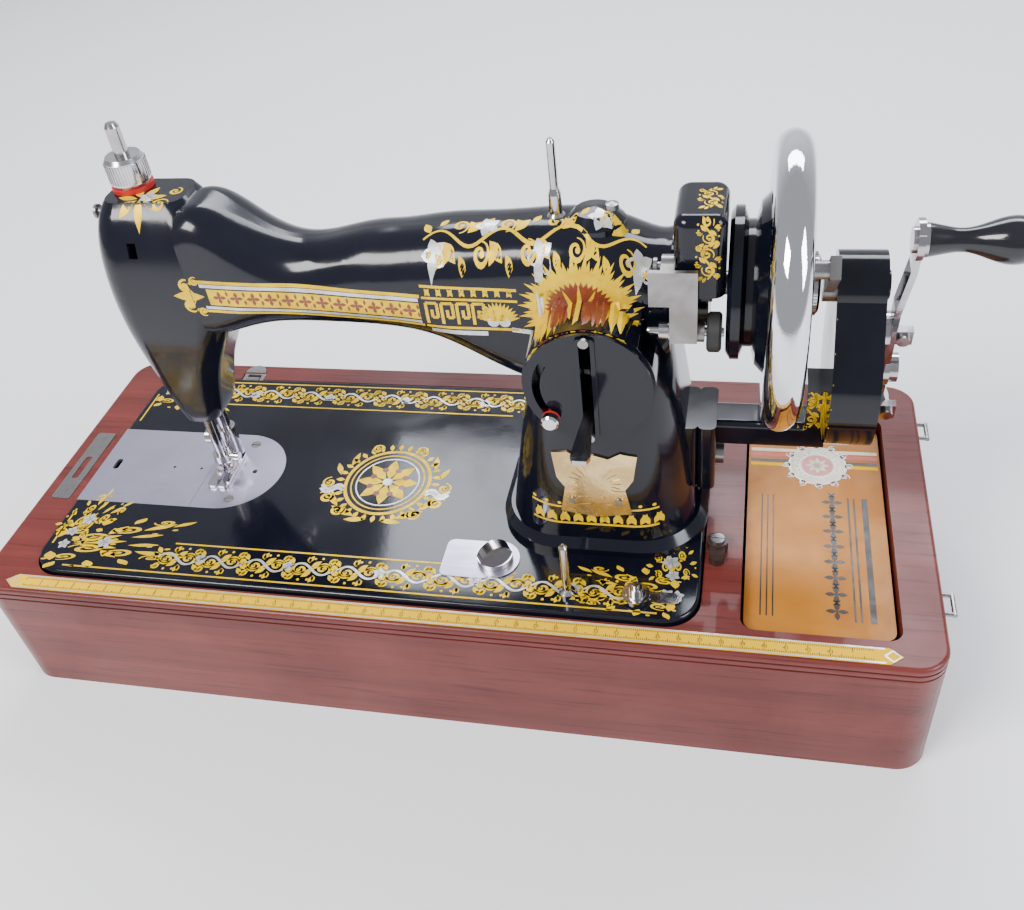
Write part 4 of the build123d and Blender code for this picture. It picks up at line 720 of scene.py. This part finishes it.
def make_bed_gilding(scrolls):
    """Scroll borders along the bed's edges, corner sprays and the round centre device."""
    gold, silver, russet = Ornament(), Ornament(), Ornament()
    right = (BED_HIGH.x - BED_LOW.x) / MM
    back = (BED_HIGH.y - BED_LOW.y) / MM
    inset = scrolls.inset / MM
    spacing = scrolls.spacing / MM
    runs = (((62, back - inset), (258, back - inset)), ((86, inset), (right - 46, inset)))
    for run in runs:
        gold.add(along(run, scroll_motif(), spacing))
        silver.add(along(run, ribbon_motif(), spacing))
    edge = 4.6
    lines = (((20, back - edge), (262, back - edge)), ((20, edge), (right - 20, edge)),
             ((edge, 20), (edge, 48)), ((edge, 130), (edge, back - 20)), ((80, 26.5), (246, 26.5)),
             ((52, back - 27.5), (250, back - 27.5)))
    for (u0, v0), (u1, v1) in lines:
        gold.line([(u0 + (u1 - u0) * i / 60, v0 + (v1 - v0) * i / 60) for i in range(61)], 1.0)
    corners = ((12, 20, 8, 1.9, 0.62), (12, 30, 62, 0.9, 0.5), (12, back - 17, -6, 1.3, 0.55),
               (right - 16, 17, 176, 1.2, 0.52), (right - 14, 30, 100, 0.7, 0.42))
    for u, v, turn, size, width in corners:
        made = Ornament()
        made.points = [(pu * size, pv * width) for pu, pv in spray().points]
        made.faces = spray().faces
        gold.add(made, u, v, turn)
        silver.add(flower(), *polar(u, v, 13 * size, turn), turn, 1.5)
        silver.add(flower(), u, v, turn, 1.2)
    for x in range(74, 351, 52):
        if x < 250:
            silver.add(flower(), x, back - inset - 1, 0, 1.2)
        silver.add(flower(), x + 26, inset + 1, 0, 1.2)
    centre_u, centre_v = 188.0, 86.0
    gold.add(crest(), centre_u, centre_v)
    for side in (-1, 1):
        for offset in (-1.4, 1.4):
            silver.strip([(centre_u + side * (25 + i), centre_v - 8 + offset + 2.0 * math.sin(i * 0.5))
                          for i in range(15)], 2.4, 0.7)
    silver.ring(centre_u, centre_v, 18.6, 0.9, 50, 1.05)
    for i in range(8):
        russet.disc(*polar(centre_u, centre_v, 10.6, i * 45 + 22.5), 2.0)
    silver.disc(centre_u, centre_v, 3.0, 16)
    gold.laid("bed_gilding", flat_on(0.07), "gold leaf", "machine")
    silver.laid("bed_silvering", flat_on(0.11), "silver leaf", "machine")
    russet.laid("bed_russet", flat_on(0.11), "russet paint", "machine")


def make_arm_gilding():
    """The long band, key pattern and sunburst on the arm's front, with vines on its top."""
    arm = tree_of("arm")

    def front(layer=1.0):
        return cast_on(arm, lambda u, v: on_machine(u, -60, v), (0, 1, 0), LIFT * layer)

    def above(layer=1.0):
        return cast_on(arm, lambda u, v: on_machine(u, v, 260), (0, 0, -1), LIFT * layer)
    gold, silver, russet = Ornament(), Ornament(), Ornament()

    def middle(u):
        """The height of the band's centre line, which falls a little to the right."""
        return 137.0 - 0.045 * (u - 130)

    def fine(u0, u1, v0, v1, count=48):
        """A straight line in short steps, so that it follows the casting."""
        return [(u0 + (u1 - u0) * i / count, v0 + (v1 - v0) * i / count) for i in range(count + 1)]
    # the long band: a gilt ground with russet lozenges, between silver lines
    rows = [(gold, offset, 127, 237, 1.6) for offset in (-3.6, -2.1, -0.6, 0.9, 2.4, 3.9)]
    rows += [(gold, 8.6, 122, 238, 1.8), (silver, 6.4, 124, 237, 1.9), (silver, -6.0, 124, 237, 1.6),
             (gold, -8.0, 122, 238, 1.4)]
    for art, offset, u0, u1, width in rows:
        art.line([(u, middle(u) + offset) for u in range(u0, u1)], width)
    for i in range(12):
        u = 133 + i * 8.9
        for turn in (0, 90, 180, 270):
            russet.leaf(u, middle(u) + 0.2, turn, 3.6, 2.0, 5)
        for side in (-1, 1):
            russet.leaf(u + 4.4, middle(u) + 0.2 + side * 3.8, -90 * side, 3.2, 1.4, 4)
    for side in (-1, 1):
        gold.scroll(116, middle(120) + side * 5.4, 4.0, side * 20, side, 1.3, 1.7)
        gold.scroll(122, middle(120) + side * 8.6, 2.6, side * 60, side, 1.2, 1.3)
        gold.leaf(120, middle(120) + side * 2.0, 180 - side * 30, 9, 3.4)
    gold.leaf(125, middle(120), 180, 17, 5.4)
    # key pattern
    gold.line(fine(238, 284, 146.5, 145.0), 1.4)
    gold.line(fine(238, 284, 140.2, 139.0), 1.3)
    gold.line(fine(238, 286, 124.2, 123.4), 1.4)
    for i in range(4):
        u = 239.5 + i * 7.6
        key = ((u, 126), (u, 137.4), (u + 5.4, 137.4), (u + 5.4, 129.6), (u + 2.7, 129.6), (u + 2.7, 133.8))
        for (a0, b0), (a1, b1) in zip(key, key[1:]):
            gold.line(fine(a0, a1, b0, b1, 5), 1.5)
    for i in range(8):
        u = 240 + i * 5.6
        gold.leaf(u, 141.2, 60, 4.6, 1.9, 4)
        gold.leaf(u + 2.4, 141.2, 120, 4.6, 1.9, 4)
    for i in range(15):
        gold.leaf(274, 128.0, 12 + i * 11.2, 10.5, 2.2, 5)
    silver.disc(271.4, 127.6, 2.8, 14)
    silver.disc(276.8, 127.6, 2.8, 14)
    silver.line(fine(240, 268, 121.4, 121.0, 24), 2.4)
    silver.line(fine(280, 304, 123.4, 120.8, 24), 2.4)
    # sunburst
    centre_u, centre_v = 313.0, 135.0
    for i in range(56):
        turn = -30 + i * 240 / 55
        (u0, v0) = polar(centre_u, centre_v, 9, turn, 7.5 / 9)
        (u1, v1) = polar(centre_u, centre_v, 24.0 + (i % 3) * 2.6, turn, 0.92)
        gold.strip(fine(u0, u1, v0, v1, 9), 3.0, 0.0)
    for i in range(26):
        turn = -24 + i * 228 / 25
        russet.leaf(*polar(centre_u, centre_v, 4, turn, 0.75), turn, 12.5, 3.6, 7)
    petals = Ornament()
    for turn, length in ((166, 12), (140, 15), (115, 18), (90, 19), (65, 18), (40, 15), (14, 12)):
        petals.leaf(centre_u, centre_v - 5, turn, length, 2.2, 9)
    petals.scroll(centre_u - 3, centre_v - 2, 4.2, 200, -1, 1.2, 1.3)
    petals.scroll(centre_u + 4, centre_v - 1, 4.2, -20, 1, 1.2, 1.3)
    for i in range(11):
        petals.disc(centre_u - 18 + i * 3.6, centre_v - 11.5 + 0.03 * (i - 5) ** 2, 1.1, 8)
    gold.laid("arm_gilding", front(), "gold leaf", "machine")
    silver.laid("arm_silvering", front(), "silver leaf", "machine")
    russet.laid("arm_russet", front(1.7), "russet paint", "machine")
    petals.laid("arm_petals", front(2.4), "gold leaf", "machine")
    # vines on the top of the arm and of the head
    vine, buds = Ornament(), Ornament()
    vine.strip([(240 + i * 2.0, 78 + 4.0 * math.sin(i * 0.42)) for i in range(52)], 1.6, 0.6)
    for i in range(9):
        u = 246 + i * 11
        hand = 1 if i % 2 else -1
        vine.scroll(u, 78 + hand * 6.4, 4.4, -hand * 90, hand, 1.3, 1.5)
        vine.leaf(u + 4, 78 + hand * 2, hand * 48, 9.5, 4.6)
        vine.leaf(u - 3, 78 - hand * 3, -hand * 120, 7.6, 3.8)
        vine.leaf(u + 1, 78 - hand * 7, -hand * 60, 6.0, 3.2)
    for u, v in ((246, 72), (270, 84), (296, 70), (322, 84), (340, 72)):
        buds.add(flower(), u, v, 20, 1.9)
    for i in range(7):
        vine.leaf(96 + 2 * math.cos(i), 88 + 2 * math.sin(i), 20 + i * 51, 11.0, 4.4)
    vine.scroll(108, 84, 4.4, 0, 1, 1.3, 1.4)
    vine.scroll(111, 96, 3.8, 90, -1, 1.3, 1.4)
    buds.add(flower(), 99, 90, 0, 1.6)
    vine.laid("top_vine", above(), "gold leaf", "machine")
    buds.laid("top_flowers", above(1.6), "silver leaf", "machine")
    # the little gilt row behind the plaque, on the pillar's foot
    row = Ornament()
    row.line([(284 + i, 20.0) for i in range(66)], 1.4)
    row.line([(284 + i, 31.5) for i in range(66)], 1.2)
    for i in range(10):
        row.leaf(285.5 + i * 6.8, 21.0, 66, 8.0, 3.4, 6)
        row.leaf(290.0 + i * 6.8, 21.0, 114, 8.0, 3.4, 6)
        row.disc(285.5 + i * 6.8, 34.0, 1.0, 8)
    row.laid("pillar_gilding", front(), "gold leaf", "machine")


def make_cover_gilding():
    """Filigree on the winder cover, the gear housing's rim and its cover."""
    motif = scroll_motif()
    cover = tree_of("winder_bracket")
    low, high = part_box("winder_bracket")
    centre_x = (high.x + low.x) / 2 + 3.5 * MM
    centre_y = (low.y + high.y) / 2
    away = 50 * MM
    filigree = Ornament()
    filigree.add(motif, 0, 0, 90, 0.62)
    filigree.add(motif, 0, 15, 90, 0.55)

    def before(u, v):
        return Vector((centre_x + u * MM, low.y - away, high.z - 20 * MM + v * MM))

    def over(u, v):
        return Vector((centre_x + u * MM, centre_y + v * MM, high.z + away))
    filigree.laid("winder_cover_gilding", cast_on(cover, before, (0, 1, 0)), "gold leaf", "machine")
    crown = Ornament()
    crown.add(motif, 0, 0, 90, 0.62)
    crown.laid("winder_cover_crown", cast_on(cover, over, (0, 0, -1)), "gold leaf", "machine")
    # round the housing's front rim
    gear_low, gear_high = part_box("gear_cover")
    run = along(((0, -44), (0, 36)), motif, 13.5)
    gold = Ornament()
    gold.add(run, 0, 0, 0, 0.72)
    for side in (-5.4, 5.4):
        gold.line([(side, v) for v in range(-40, 33)], 0.8)
    rim_x = gear_low.x - 0.4 * MM
    centre_z = (gear_low.z + gear_high.z) / 2

    def before_rim(u, v):
        return Vector((rim_x + u * MM, gear_low.y - away, centre_z + v * MM))
    for node, name in (("gear_cover", "housing_cover_gilding"), ("crank_bracket", "housing_gilding")):
        aim = cast_on(tree_of(node), before_rim, (0, 1, 0))
        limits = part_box(node)

        def only(u, v, aim=aim, limits=limits, node=node):
            """The rim's own side of the joint between housing and cover, 0.3 mm clear of it."""
            x = rim_x + u * MM
            inside = x > limits[0].x + 0.3 * MM if node == "gear_cover" else x < limits[1].x - 0.3 * MM
            return aim(u, v) if inside else None
        gold.laid(name, only, "gold leaf", "machine")


def make_rule_marks(rule):
    """Silver edging, end diamonds, two rows of graduations and the figures on the yellow rule."""
    low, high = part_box("ruler_strip")
    top = high.z + 0.05 * MM
    middle = (low.y + high.y) / 2
    half = (high.y - low.y) / 2 / MM
    length = (high.x - low.x) / MM
    tree = tick_tree()
    ink = bpy.data.materials["black ink"]
    count = int(rule.graduated / rule.pitch) + 1
    start = (low.x + high.x) / 2 - rule.graduated / 2
    for name, step, bar, side in (("rule_fine_marks", 1, 1.1, -1), ("rule_back_marks", 1, 1.1, 1),
                                  ("rule_half_marks", 5, 1.9, -1), ("rule_centimetre_marks", 10, 2.8, 1)):
        place = Matrix.Translation((start, middle + side * (half - 1.35 - bar / 2) * MM, top))
        values = {"Count": (count - 1) // step + 1, "Pitch": rule.pitch * step,
                  "Bar": (0.34 * MM, bar * MM, 0.04 * MM), "Material": ink}
        grown(name, tree, values, place=place, body="base")
    edging = Ornament()
    for side in (-1, 1):
        edging.line([(8 + i * (length - 16) / 80, side * (half - 0.55)) for i in range(81)], 0.8)
    for end in (4.6, length - 4.6):
        edging.line([(end - 3.6, 0), (end, 3.2), (end + 3.6, 0), (end, -3.2), (end - 3.6, 0)], 0.9)
    edging.laid("rule_edging", lambda u, v: Vector((low.x + u * MM, middle + v * MM, top)), "silver leaf",
                "base", "yellow_strip")
    letters = []
    for number in range(1, int(rule.graduated / (10 * rule.pitch))):
        data = bpy.data.curves.new("figure", "FONT")
        data.body = str(number)
        data.size = 2.9 * MM
        data.align_x = "CENTER"
        data.align_y = "CENTER"
        text = placed("figure", data)
        mesh = plain_mesh(text)
        mesh.transform(Matrix.Translation((start + number * 10 * rule.pitch, middle - 0.4 * MM, top)))
        bpy.data.objects.remove(text)
        letters.append(mesh)
    joined(letters, "rule_figures", "black ink", "base")


def joined(meshes, name, material, body):
    """Several meshes as one piece."""
    points, faces = [], []
    for mesh in meshes:
        first = len(points)
        points.extend(v.co.copy() for v in mesh.vertices)
        faces.extend(tuple(first + i for i in p.vertices) for p in mesh.polygons)
    whole = bpy.data.meshes.new(name)
    whole.from_pydata(points, [], faces)
    whole.materials.append(bpy.data.materials[material])
    return riding(placed(name, whole), body)


def make_lid_print():
    """Stripes and a round medallion printed on the accessory box's lid."""
    low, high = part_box("accessory_box_lid")
    top = high.z
    width = (high.x - low.x) / MM
    depth = (high.y - low.y) / MM

    def printed(art, name, ink, lift):
        art.laid(name, lambda u, v: Vector((low.x + u * MM, low.y + v * MM, top + lift * MM)), ink,
                 "accessory_lid", "orange_tin")
    bands = (("cream ink", depth - 22.0, 2.6), ("red ink", depth - 26.2, 3.4),
             ("black ink", depth - 31.0, 2.2), ("yellow rule", depth - 34.4, 2.6))
    for material, v, tall in bands:
        stripe = Ornament()
        stripe.block((1.2, v - tall / 2), (width - 1.2, v + tall / 2), 12)
        printed(stripe, "lid_stripe_" + material.split()[0], material, 0.05)
    centre_u, centre_v = width / 2 + 2, depth - 34
    disc = Ornament()
    disc.disc(centre_u, centre_v, 15.2, 40)
    printed(disc, "lid_medallion_ground", "cream ink", 0.08)
    frame_work = Ornament()
    for radius, thick in ((15.4, 1.2), (9.6, 1.1), (12.4, 0.5)):
        frame_work.ring(centre_u, centre_v, radius, thick, 50)
    for turn in range(0, 360, 30):
        frame_work.scroll(*polar(centre_u, centre_v, 17.0, turn), 2.5, turn, 1, 1.2, 0.9)
    for turn in range(0, 360, 15):
        frame_work.disc(*polar(centre_u, centre_v, 11.0, turn), 0.7, 8)
    printed(frame_work, "lid_medallion", "dull steel", 0.12)
    middle = Ornament()
    middle.disc(centre_u, centre_v, 8.6, 30)
    printed(middle, "lid_medallion_centre", "rose paint", 0.14)
    bloom = Ornament()
    for i in range(8):
        bloom.leaf(centre_u, centre_v, i * 45, 6.6, 2.6)
    printed(bloom, "lid_medallion_flower", "cream ink", 0.17)
    panel = Ornament()
    for u, thick in ((width - 10, 3.0), (width - 15.5, 1.0), (width - 18.5, 1.0),
                     (8, 0.7), (11, 0.7), (14, 0.7)):
        panel.strip([(u, 10 + i) for i in range(88)], thick, 1.0)
    for i in range(8):
        for turn in (0, 90, 180, 270):
            panel.leaf(width - 27, 16 + i * 11, turn, 5.6, 2.8, 5)
            panel.leaf(width - 27, 21.5 + i * 11, turn + 45, 2.6, 1.4, 4)
    printed(panel, "lid_side_ornament", "black ink", 0.06)


def make_plaque_relief():
    """Raised beads, rays and a bar on the pillar's brass plaque."""
    target = tree_of("pillar_plaque")
    low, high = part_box("pillar_plaque")
    centre_x = (low.x + high.x) / 2
    tall = 0.35
    raised = Ornament()
    for side in (-1, 1):
        for i in range(7):
            raised.leaf(side * 2.5, 21, 90 - side * (14 + i * 17), 13 - i * 0.6, 1.6, 6)
        raised.line([(side * 3, 17.5), (side * 15, 17.5)], 1.0)
        raised.line([(side * 3, 8.0), (side * 14, 8.0)], 1.0)
        for i in range(4):
            raised.add(flower(), side * (4 + i * 3.4), 12.6, 0, 0.42)
    raised.strip([(0, 22), (0, 36)], 1.4, 0.3)

    def start(u, v):
        return Vector((centre_x + u * MM, low.y - 30 * MM, low.z + v * MM))
    face = cast_on(target, start, (0, 1, 0), tall)
    piece = raised.laid("plaque_relief", face, "sheet brass", "machine", "brass")
    thick = piece.modifiers.new("Thickness", "SOLIDIFY")
    thick.thickness = tall * MM
    thick.offset = -1.0


def make_knurls(knurl):
    """Knurled ribs on the pressure nut and on the stop-motion knob."""
    tree = rib_tree()
    steel = bpy.data.materials["nickel plate"]
    low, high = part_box("pressure_screw")
    centre = (low + high) / 2
    tall = 9.5 * MM
    below_top = 2.6 * MM
    values = {"Count": knurl.ribs, "Radius": 9.9 * MM, "Rib": (0.9 * MM, 0.75 * MM, tall),
              "Material": steel}
    place = Matrix.Translation((centre.x, centre.y, high.z - below_top - tall / 2))
    grown("pressure_nut_knurl", tree, values, place=place, body="pressure_screw")
    low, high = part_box("stop_motion_knob")
    centre = (low + high) / 2
    values = {"Count": knurl.ribs + 12, "Radius": 14.0 * MM, "Rib": (0.8 * MM, 0.8 * MM, 3.4 * MM),
              "Material": steel}
    place = Matrix.Translation(centre) @ Matrix.Rotation(math.pi / 2, 4, "Y")
    grown("stop_knob_knurl", tree, values, place=place, body="stop_knob")


def make_stage(stage):
    """Pale floor and sweep, soft lights and the camera."""
    floor = bpy.data.materials.new("pale paper")
    floor.use_nodes = True
    shader = floor.node_tree.nodes["Principled BSDF"]
    shader.inputs["Base Color"].default_value = (*stage.paper, 1.0)
    shader.inputs["Roughness"].default_value = 0.9
    near, bend_y, bend, wall_top, side = -3.0, 1.3, 1.2, 5.0, 6.0
    steps = 14
    turns = [math.pi / 2 * i / steps for i in range(1, steps + 1)]
    profile = [(near, 0.0), (bend_y, 0.0)]
    profile += [(bend_y + bend * math.sin(a), bend - bend * math.cos(a)) for a in turns]
    profile += [(bend_y + bend, wall_top)]
    points = [(x, y, z) for y, z in profile for x in (-side, side)]
    faces = [(2 * i, 2 * i + 1, 2 * i + 3, 2 * i + 2) for i in range(len(profile) - 1)]
    mesh = bpy.data.meshes.new("sweep")
    mesh.from_pydata(points, [], faces)
    for polygon in mesh.polygons:
        polygon.use_smooth = True
    mesh.materials.append(floor)
    placed("sweep", mesh)
    world = bpy.data.worlds.new("studio")
    world.use_nodes = True
    sky = world.node_tree.nodes["Background"]
    sky.inputs["Color"].default_value = (0.90, 0.93, 1.0, 1.0)
    sky.inputs["Strength"].default_value = stage.fill
    bpy.context.scene.world = world
    lamps = (("key", (-0.9, -1.1, 1.6), (0.0, 0.0, 0.15), (0.9, 0.7), 1.0, (1.0, 0.98, 0.96)),
             ("side", (1.5, -0.5, 1.0), (0.0, 0.0, 0.15), (0.6, 0.9), 0.45, (0.86, 0.91, 1.0)),
             ("back", (0.1, 1.2, 1.5), (0.0, 0.0, 0.2), (1.6, 0.5), 0.6, (0.88, 0.92, 1.0)))
    for name, spot, aim, size, share, colour in lamps:
        data = bpy.data.lights.new(name, "AREA")
        data.shape = "RECTANGLE"
        data.size, data.size_y = size
        data.energy = stage.power * share
        data.color = colour
        lamp = placed(name, data)
        lamp.location = spot
        lamp.rotation_euler = (Vector(aim) - Vector(spot)).to_track_quat("-Z", "Y").to_euler()
    data = bpy.data.cameras.new("camera")
    data.sensor_width = 36.0
    data.lens = 35.7
    data.clip_start = 0.02
    eye = (0.15656, -0.40968, 0.47574)
    ahead = (-0.2157, 0.72391, -0.65531)
    across = (0.97522, 0.19347, -0.10728)
    back = -Vector(ahead).normalized()
    right = Vector(across)
    right = (right - back * right.dot(back)).normalized()
    turn = Matrix((right, back.cross(right), back)).transposed().to_4x4()
    camera = placed("camera", data)
    camera.matrix_world = Matrix.Translation(eye) @ turn
    bpy.context.scene.camera = camera


# ---- what a user would change
def colour(label, purpose, value):
    """A colour setting."""
    return bpy.props.FloatVectorProperty(name=label, description=purpose, subtype="COLOR", default=value)


def length(label, purpose, value):
    """A length setting in metres."""
    return bpy.props.FloatProperty(name=label, description=purpose, unit="LENGTH", default=value)


class EnamelSettings(bpy.types.PropertyGroup):
    """Colours of the enamel and of the ornament on it"""
    black: colour("Black", "Colour of the enamel", (0.0035, 0.0042, 0.009))
    bloom: colour("Bloom", "Colour of the enamel where it has dulled", (0.010, 0.011, 0.020))
    gold: colour("Gold", "Colour of the gilding", (0.95, 0.62, 0.0))
    silver: colour("Silver", "Colour of the silvered parts of the ornament", (0.74, 0.74, 0.76))


class TimberSettings(bpy.types.PropertyGroup):
    """Colours of the wooden base"""
    light: colour("Light", "Colour of the varnished wood", (0.20, 0.038, 0.030))
    dark: colour("Dark", "Colour of its darker grain", (0.085, 0.014, 0.012))


class ScrollSettings(bpy.types.PropertyGroup):
    """Where the bed's borders run"""
    spacing: length("Spacing", "From one scroll of the border to the next", 26 * MM)
    inset: length("Inset", "From the bed's edge to the middle of the border", 15.5 * MM)


class RuleSettings(bpy.types.PropertyGroup):
    """Graduations of the measuring strip"""
    pitch: length("Pitch", "Between two graduations", MM)
    graduated: length("Graduated length", "Length that carries graduations", 450 * MM)


class KnurlSettings(bpy.types.PropertyGroup):
    """Ribs of the knurled pieces"""
    ribs: bpy.props.IntProperty(name="Ribs", description="Ribs round the pressure nut", default=40, min=8)


class StageSettings(bpy.types.PropertyGroup):
    """Floor and lights"""
    paper: colour("Paper", "Colour of the floor", (0.93, 0.93, 0.94))
    fill: bpy.props.FloatProperty(name="Fill", description="Strength of the light all round", default=0.5)
    power: bpy.props.FloatProperty(name="Power", description="Power of the main light in watts",
                                   default=52.0, unit="POWER")


class SEWING_OT_finishes(bpy.types.Operator):
    """Make every finish and put it on the castings, wood and metal parts"""
    bl_idname = "sewing.finishes"
    bl_label = "Finishes"

    def execute(self, context):
        make_finishes(context.scene.sewing_enamel, context.scene.sewing_timber)
        return {"FINISHED"}


class SEWING_OT_bed_gilding(bpy.types.Operator):
    """Lay the borders and the centre device on the bed"""
    bl_idname = "sewing.bed_gilding"
    bl_label = "Bed gilding"

    def execute(self, context):
        make_bed_gilding(context.scene.sewing_scrolls)
        return {"FINISHED"}


class SEWING_OT_arm_gilding(bpy.types.Operator):
    """Lay the band, the sunburst and the vines on the arm"""
    bl_idname = "sewing.arm_gilding"
    bl_label = "Arm gilding"

    def execute(self, context):
        make_arm_gilding()
        return {"FINISHED"}


class SEWING_OT_cover_gilding(bpy.types.Operator):
    """Lay the filigree on the winder cover and the gear housing"""
    bl_idname = "sewing.cover_gilding"
    bl_label = "Cover gilding"

    def execute(self, context):
        make_cover_gilding()
        return {"FINISHED"}


class SEWING_OT_rule_marks(bpy.types.Operator):
    """Print the rule's graduations, figures and edging"""
    bl_idname = "sewing.rule_marks"
    bl_label = "Rule marks"

    def execute(self, context):
        make_rule_marks(context.scene.sewing_rule)
        return {"FINISHED"}


class SEWING_OT_lid_print(bpy.types.Operator):
    """Print the stripes and the medallion on the accessory box's lid"""
    bl_idname = "sewing.lid_print"
    bl_label = "Lid print"

    def execute(self, context):
        make_lid_print()
        return {"FINISHED"}


class SEWING_OT_plaque_relief(bpy.types.Operator):
    """Raise the ornament on the brass plaque"""
    bl_idname = "sewing.plaque_relief"
    bl_label = "Plaque relief"

    def execute(self, context):
        make_plaque_relief()
        return {"FINISHED"}


class SEWING_OT_knurls(bpy.types.Operator):
    """Cut the knurling on the pressure nut and the stop-motion knob"""
    bl_idname = "sewing.knurls"
    bl_label = "Knurls"

    def execute(self, context):
        make_knurls(context.scene.sewing_knurls)
        return {"FINISHED"}


class SEWING_OT_stage(bpy.types.Operator):
    """Set the floor, the lights and the camera"""
    bl_idname = "sewing.stage"
    bl_label = "Stage"

    def execute(self, context):
        make_stage(context.scene.sewing_stage)
        return {"FINISHED"}


OPERATORS = (SEWING_OT_finishes, SEWING_OT_bed_gilding, SEWING_OT_arm_gilding, SEWING_OT_cover_gilding,
             SEWING_OT_rule_marks, SEWING_OT_lid_print, SEWING_OT_plaque_relief, SEWING_OT_knurls,
             SEWING_OT_stage)
SETTINGS = {"sewing_enamel": EnamelSettings, "sewing_timber": TimberSettings,
            "sewing_scrolls": ScrollSettings, "sewing_rule": RuleSettings,
            "sewing_knurls": KnurlSettings, "sewing_stage": StageSettings}


class SEWING_PT_panel(bpy.types.Panel):
    """Lists the pieces of the sewing machine and what can be changed"""
    bl_label = "Sewing machine"
    bl_idname = "SEWING_PT_panel"
    bl_space_type = "VIEW_3D"
    bl_region_type = "UI"
    bl_category = "Sewing machine"

    def draw(self, context):
        for name, kind in SETTINGS.items():
            box = self.layout.box()
            for label in kind.__annotations__:
                box.prop(getattr(context.scene, name), label)
        for operator in OPERATORS:
            self.layout.operator(operator.bl_idname)


def register():
    for kind in SETTINGS.values():
        bpy.utils.register_class(kind)
    for operator in OPERATORS:
        bpy.utils.register_class(operator)
    bpy.utils.register_class(SEWING_PT_panel)
    for name, kind in SETTINGS.items():
        setattr(bpy.types.Scene, name, bpy.props.PointerProperty(type=kind))


def unregister():
    for name in SETTINGS:
        delattr(bpy.types.Scene, name)
    bpy.utils.unregister_class(SEWING_PT_panel)
    for operator in reversed(OPERATORS):
        bpy.utils.unregister_class(operator)
    for kind in reversed(list(SETTINGS.values())):
        bpy.utils.unregister_class(kind)


def main():
    """Builds every piece in order."""
    register()
    bpy.ops.sewing.finishes()
    bpy.ops.sewing.bed_gilding()
    bpy.ops.sewing.arm_gilding()
    bpy.ops.sewing.cover_gilding()
    bpy.ops.sewing.rule_marks()
    bpy.ops.sewing.lid_print()
    bpy.ops.sewing.plaque_relief()
    bpy.ops.sewing.knurls()
    bpy.ops.sewing.stage()
    bpy.context.view_layer.update()


if __name__ == "__main__":
    main()
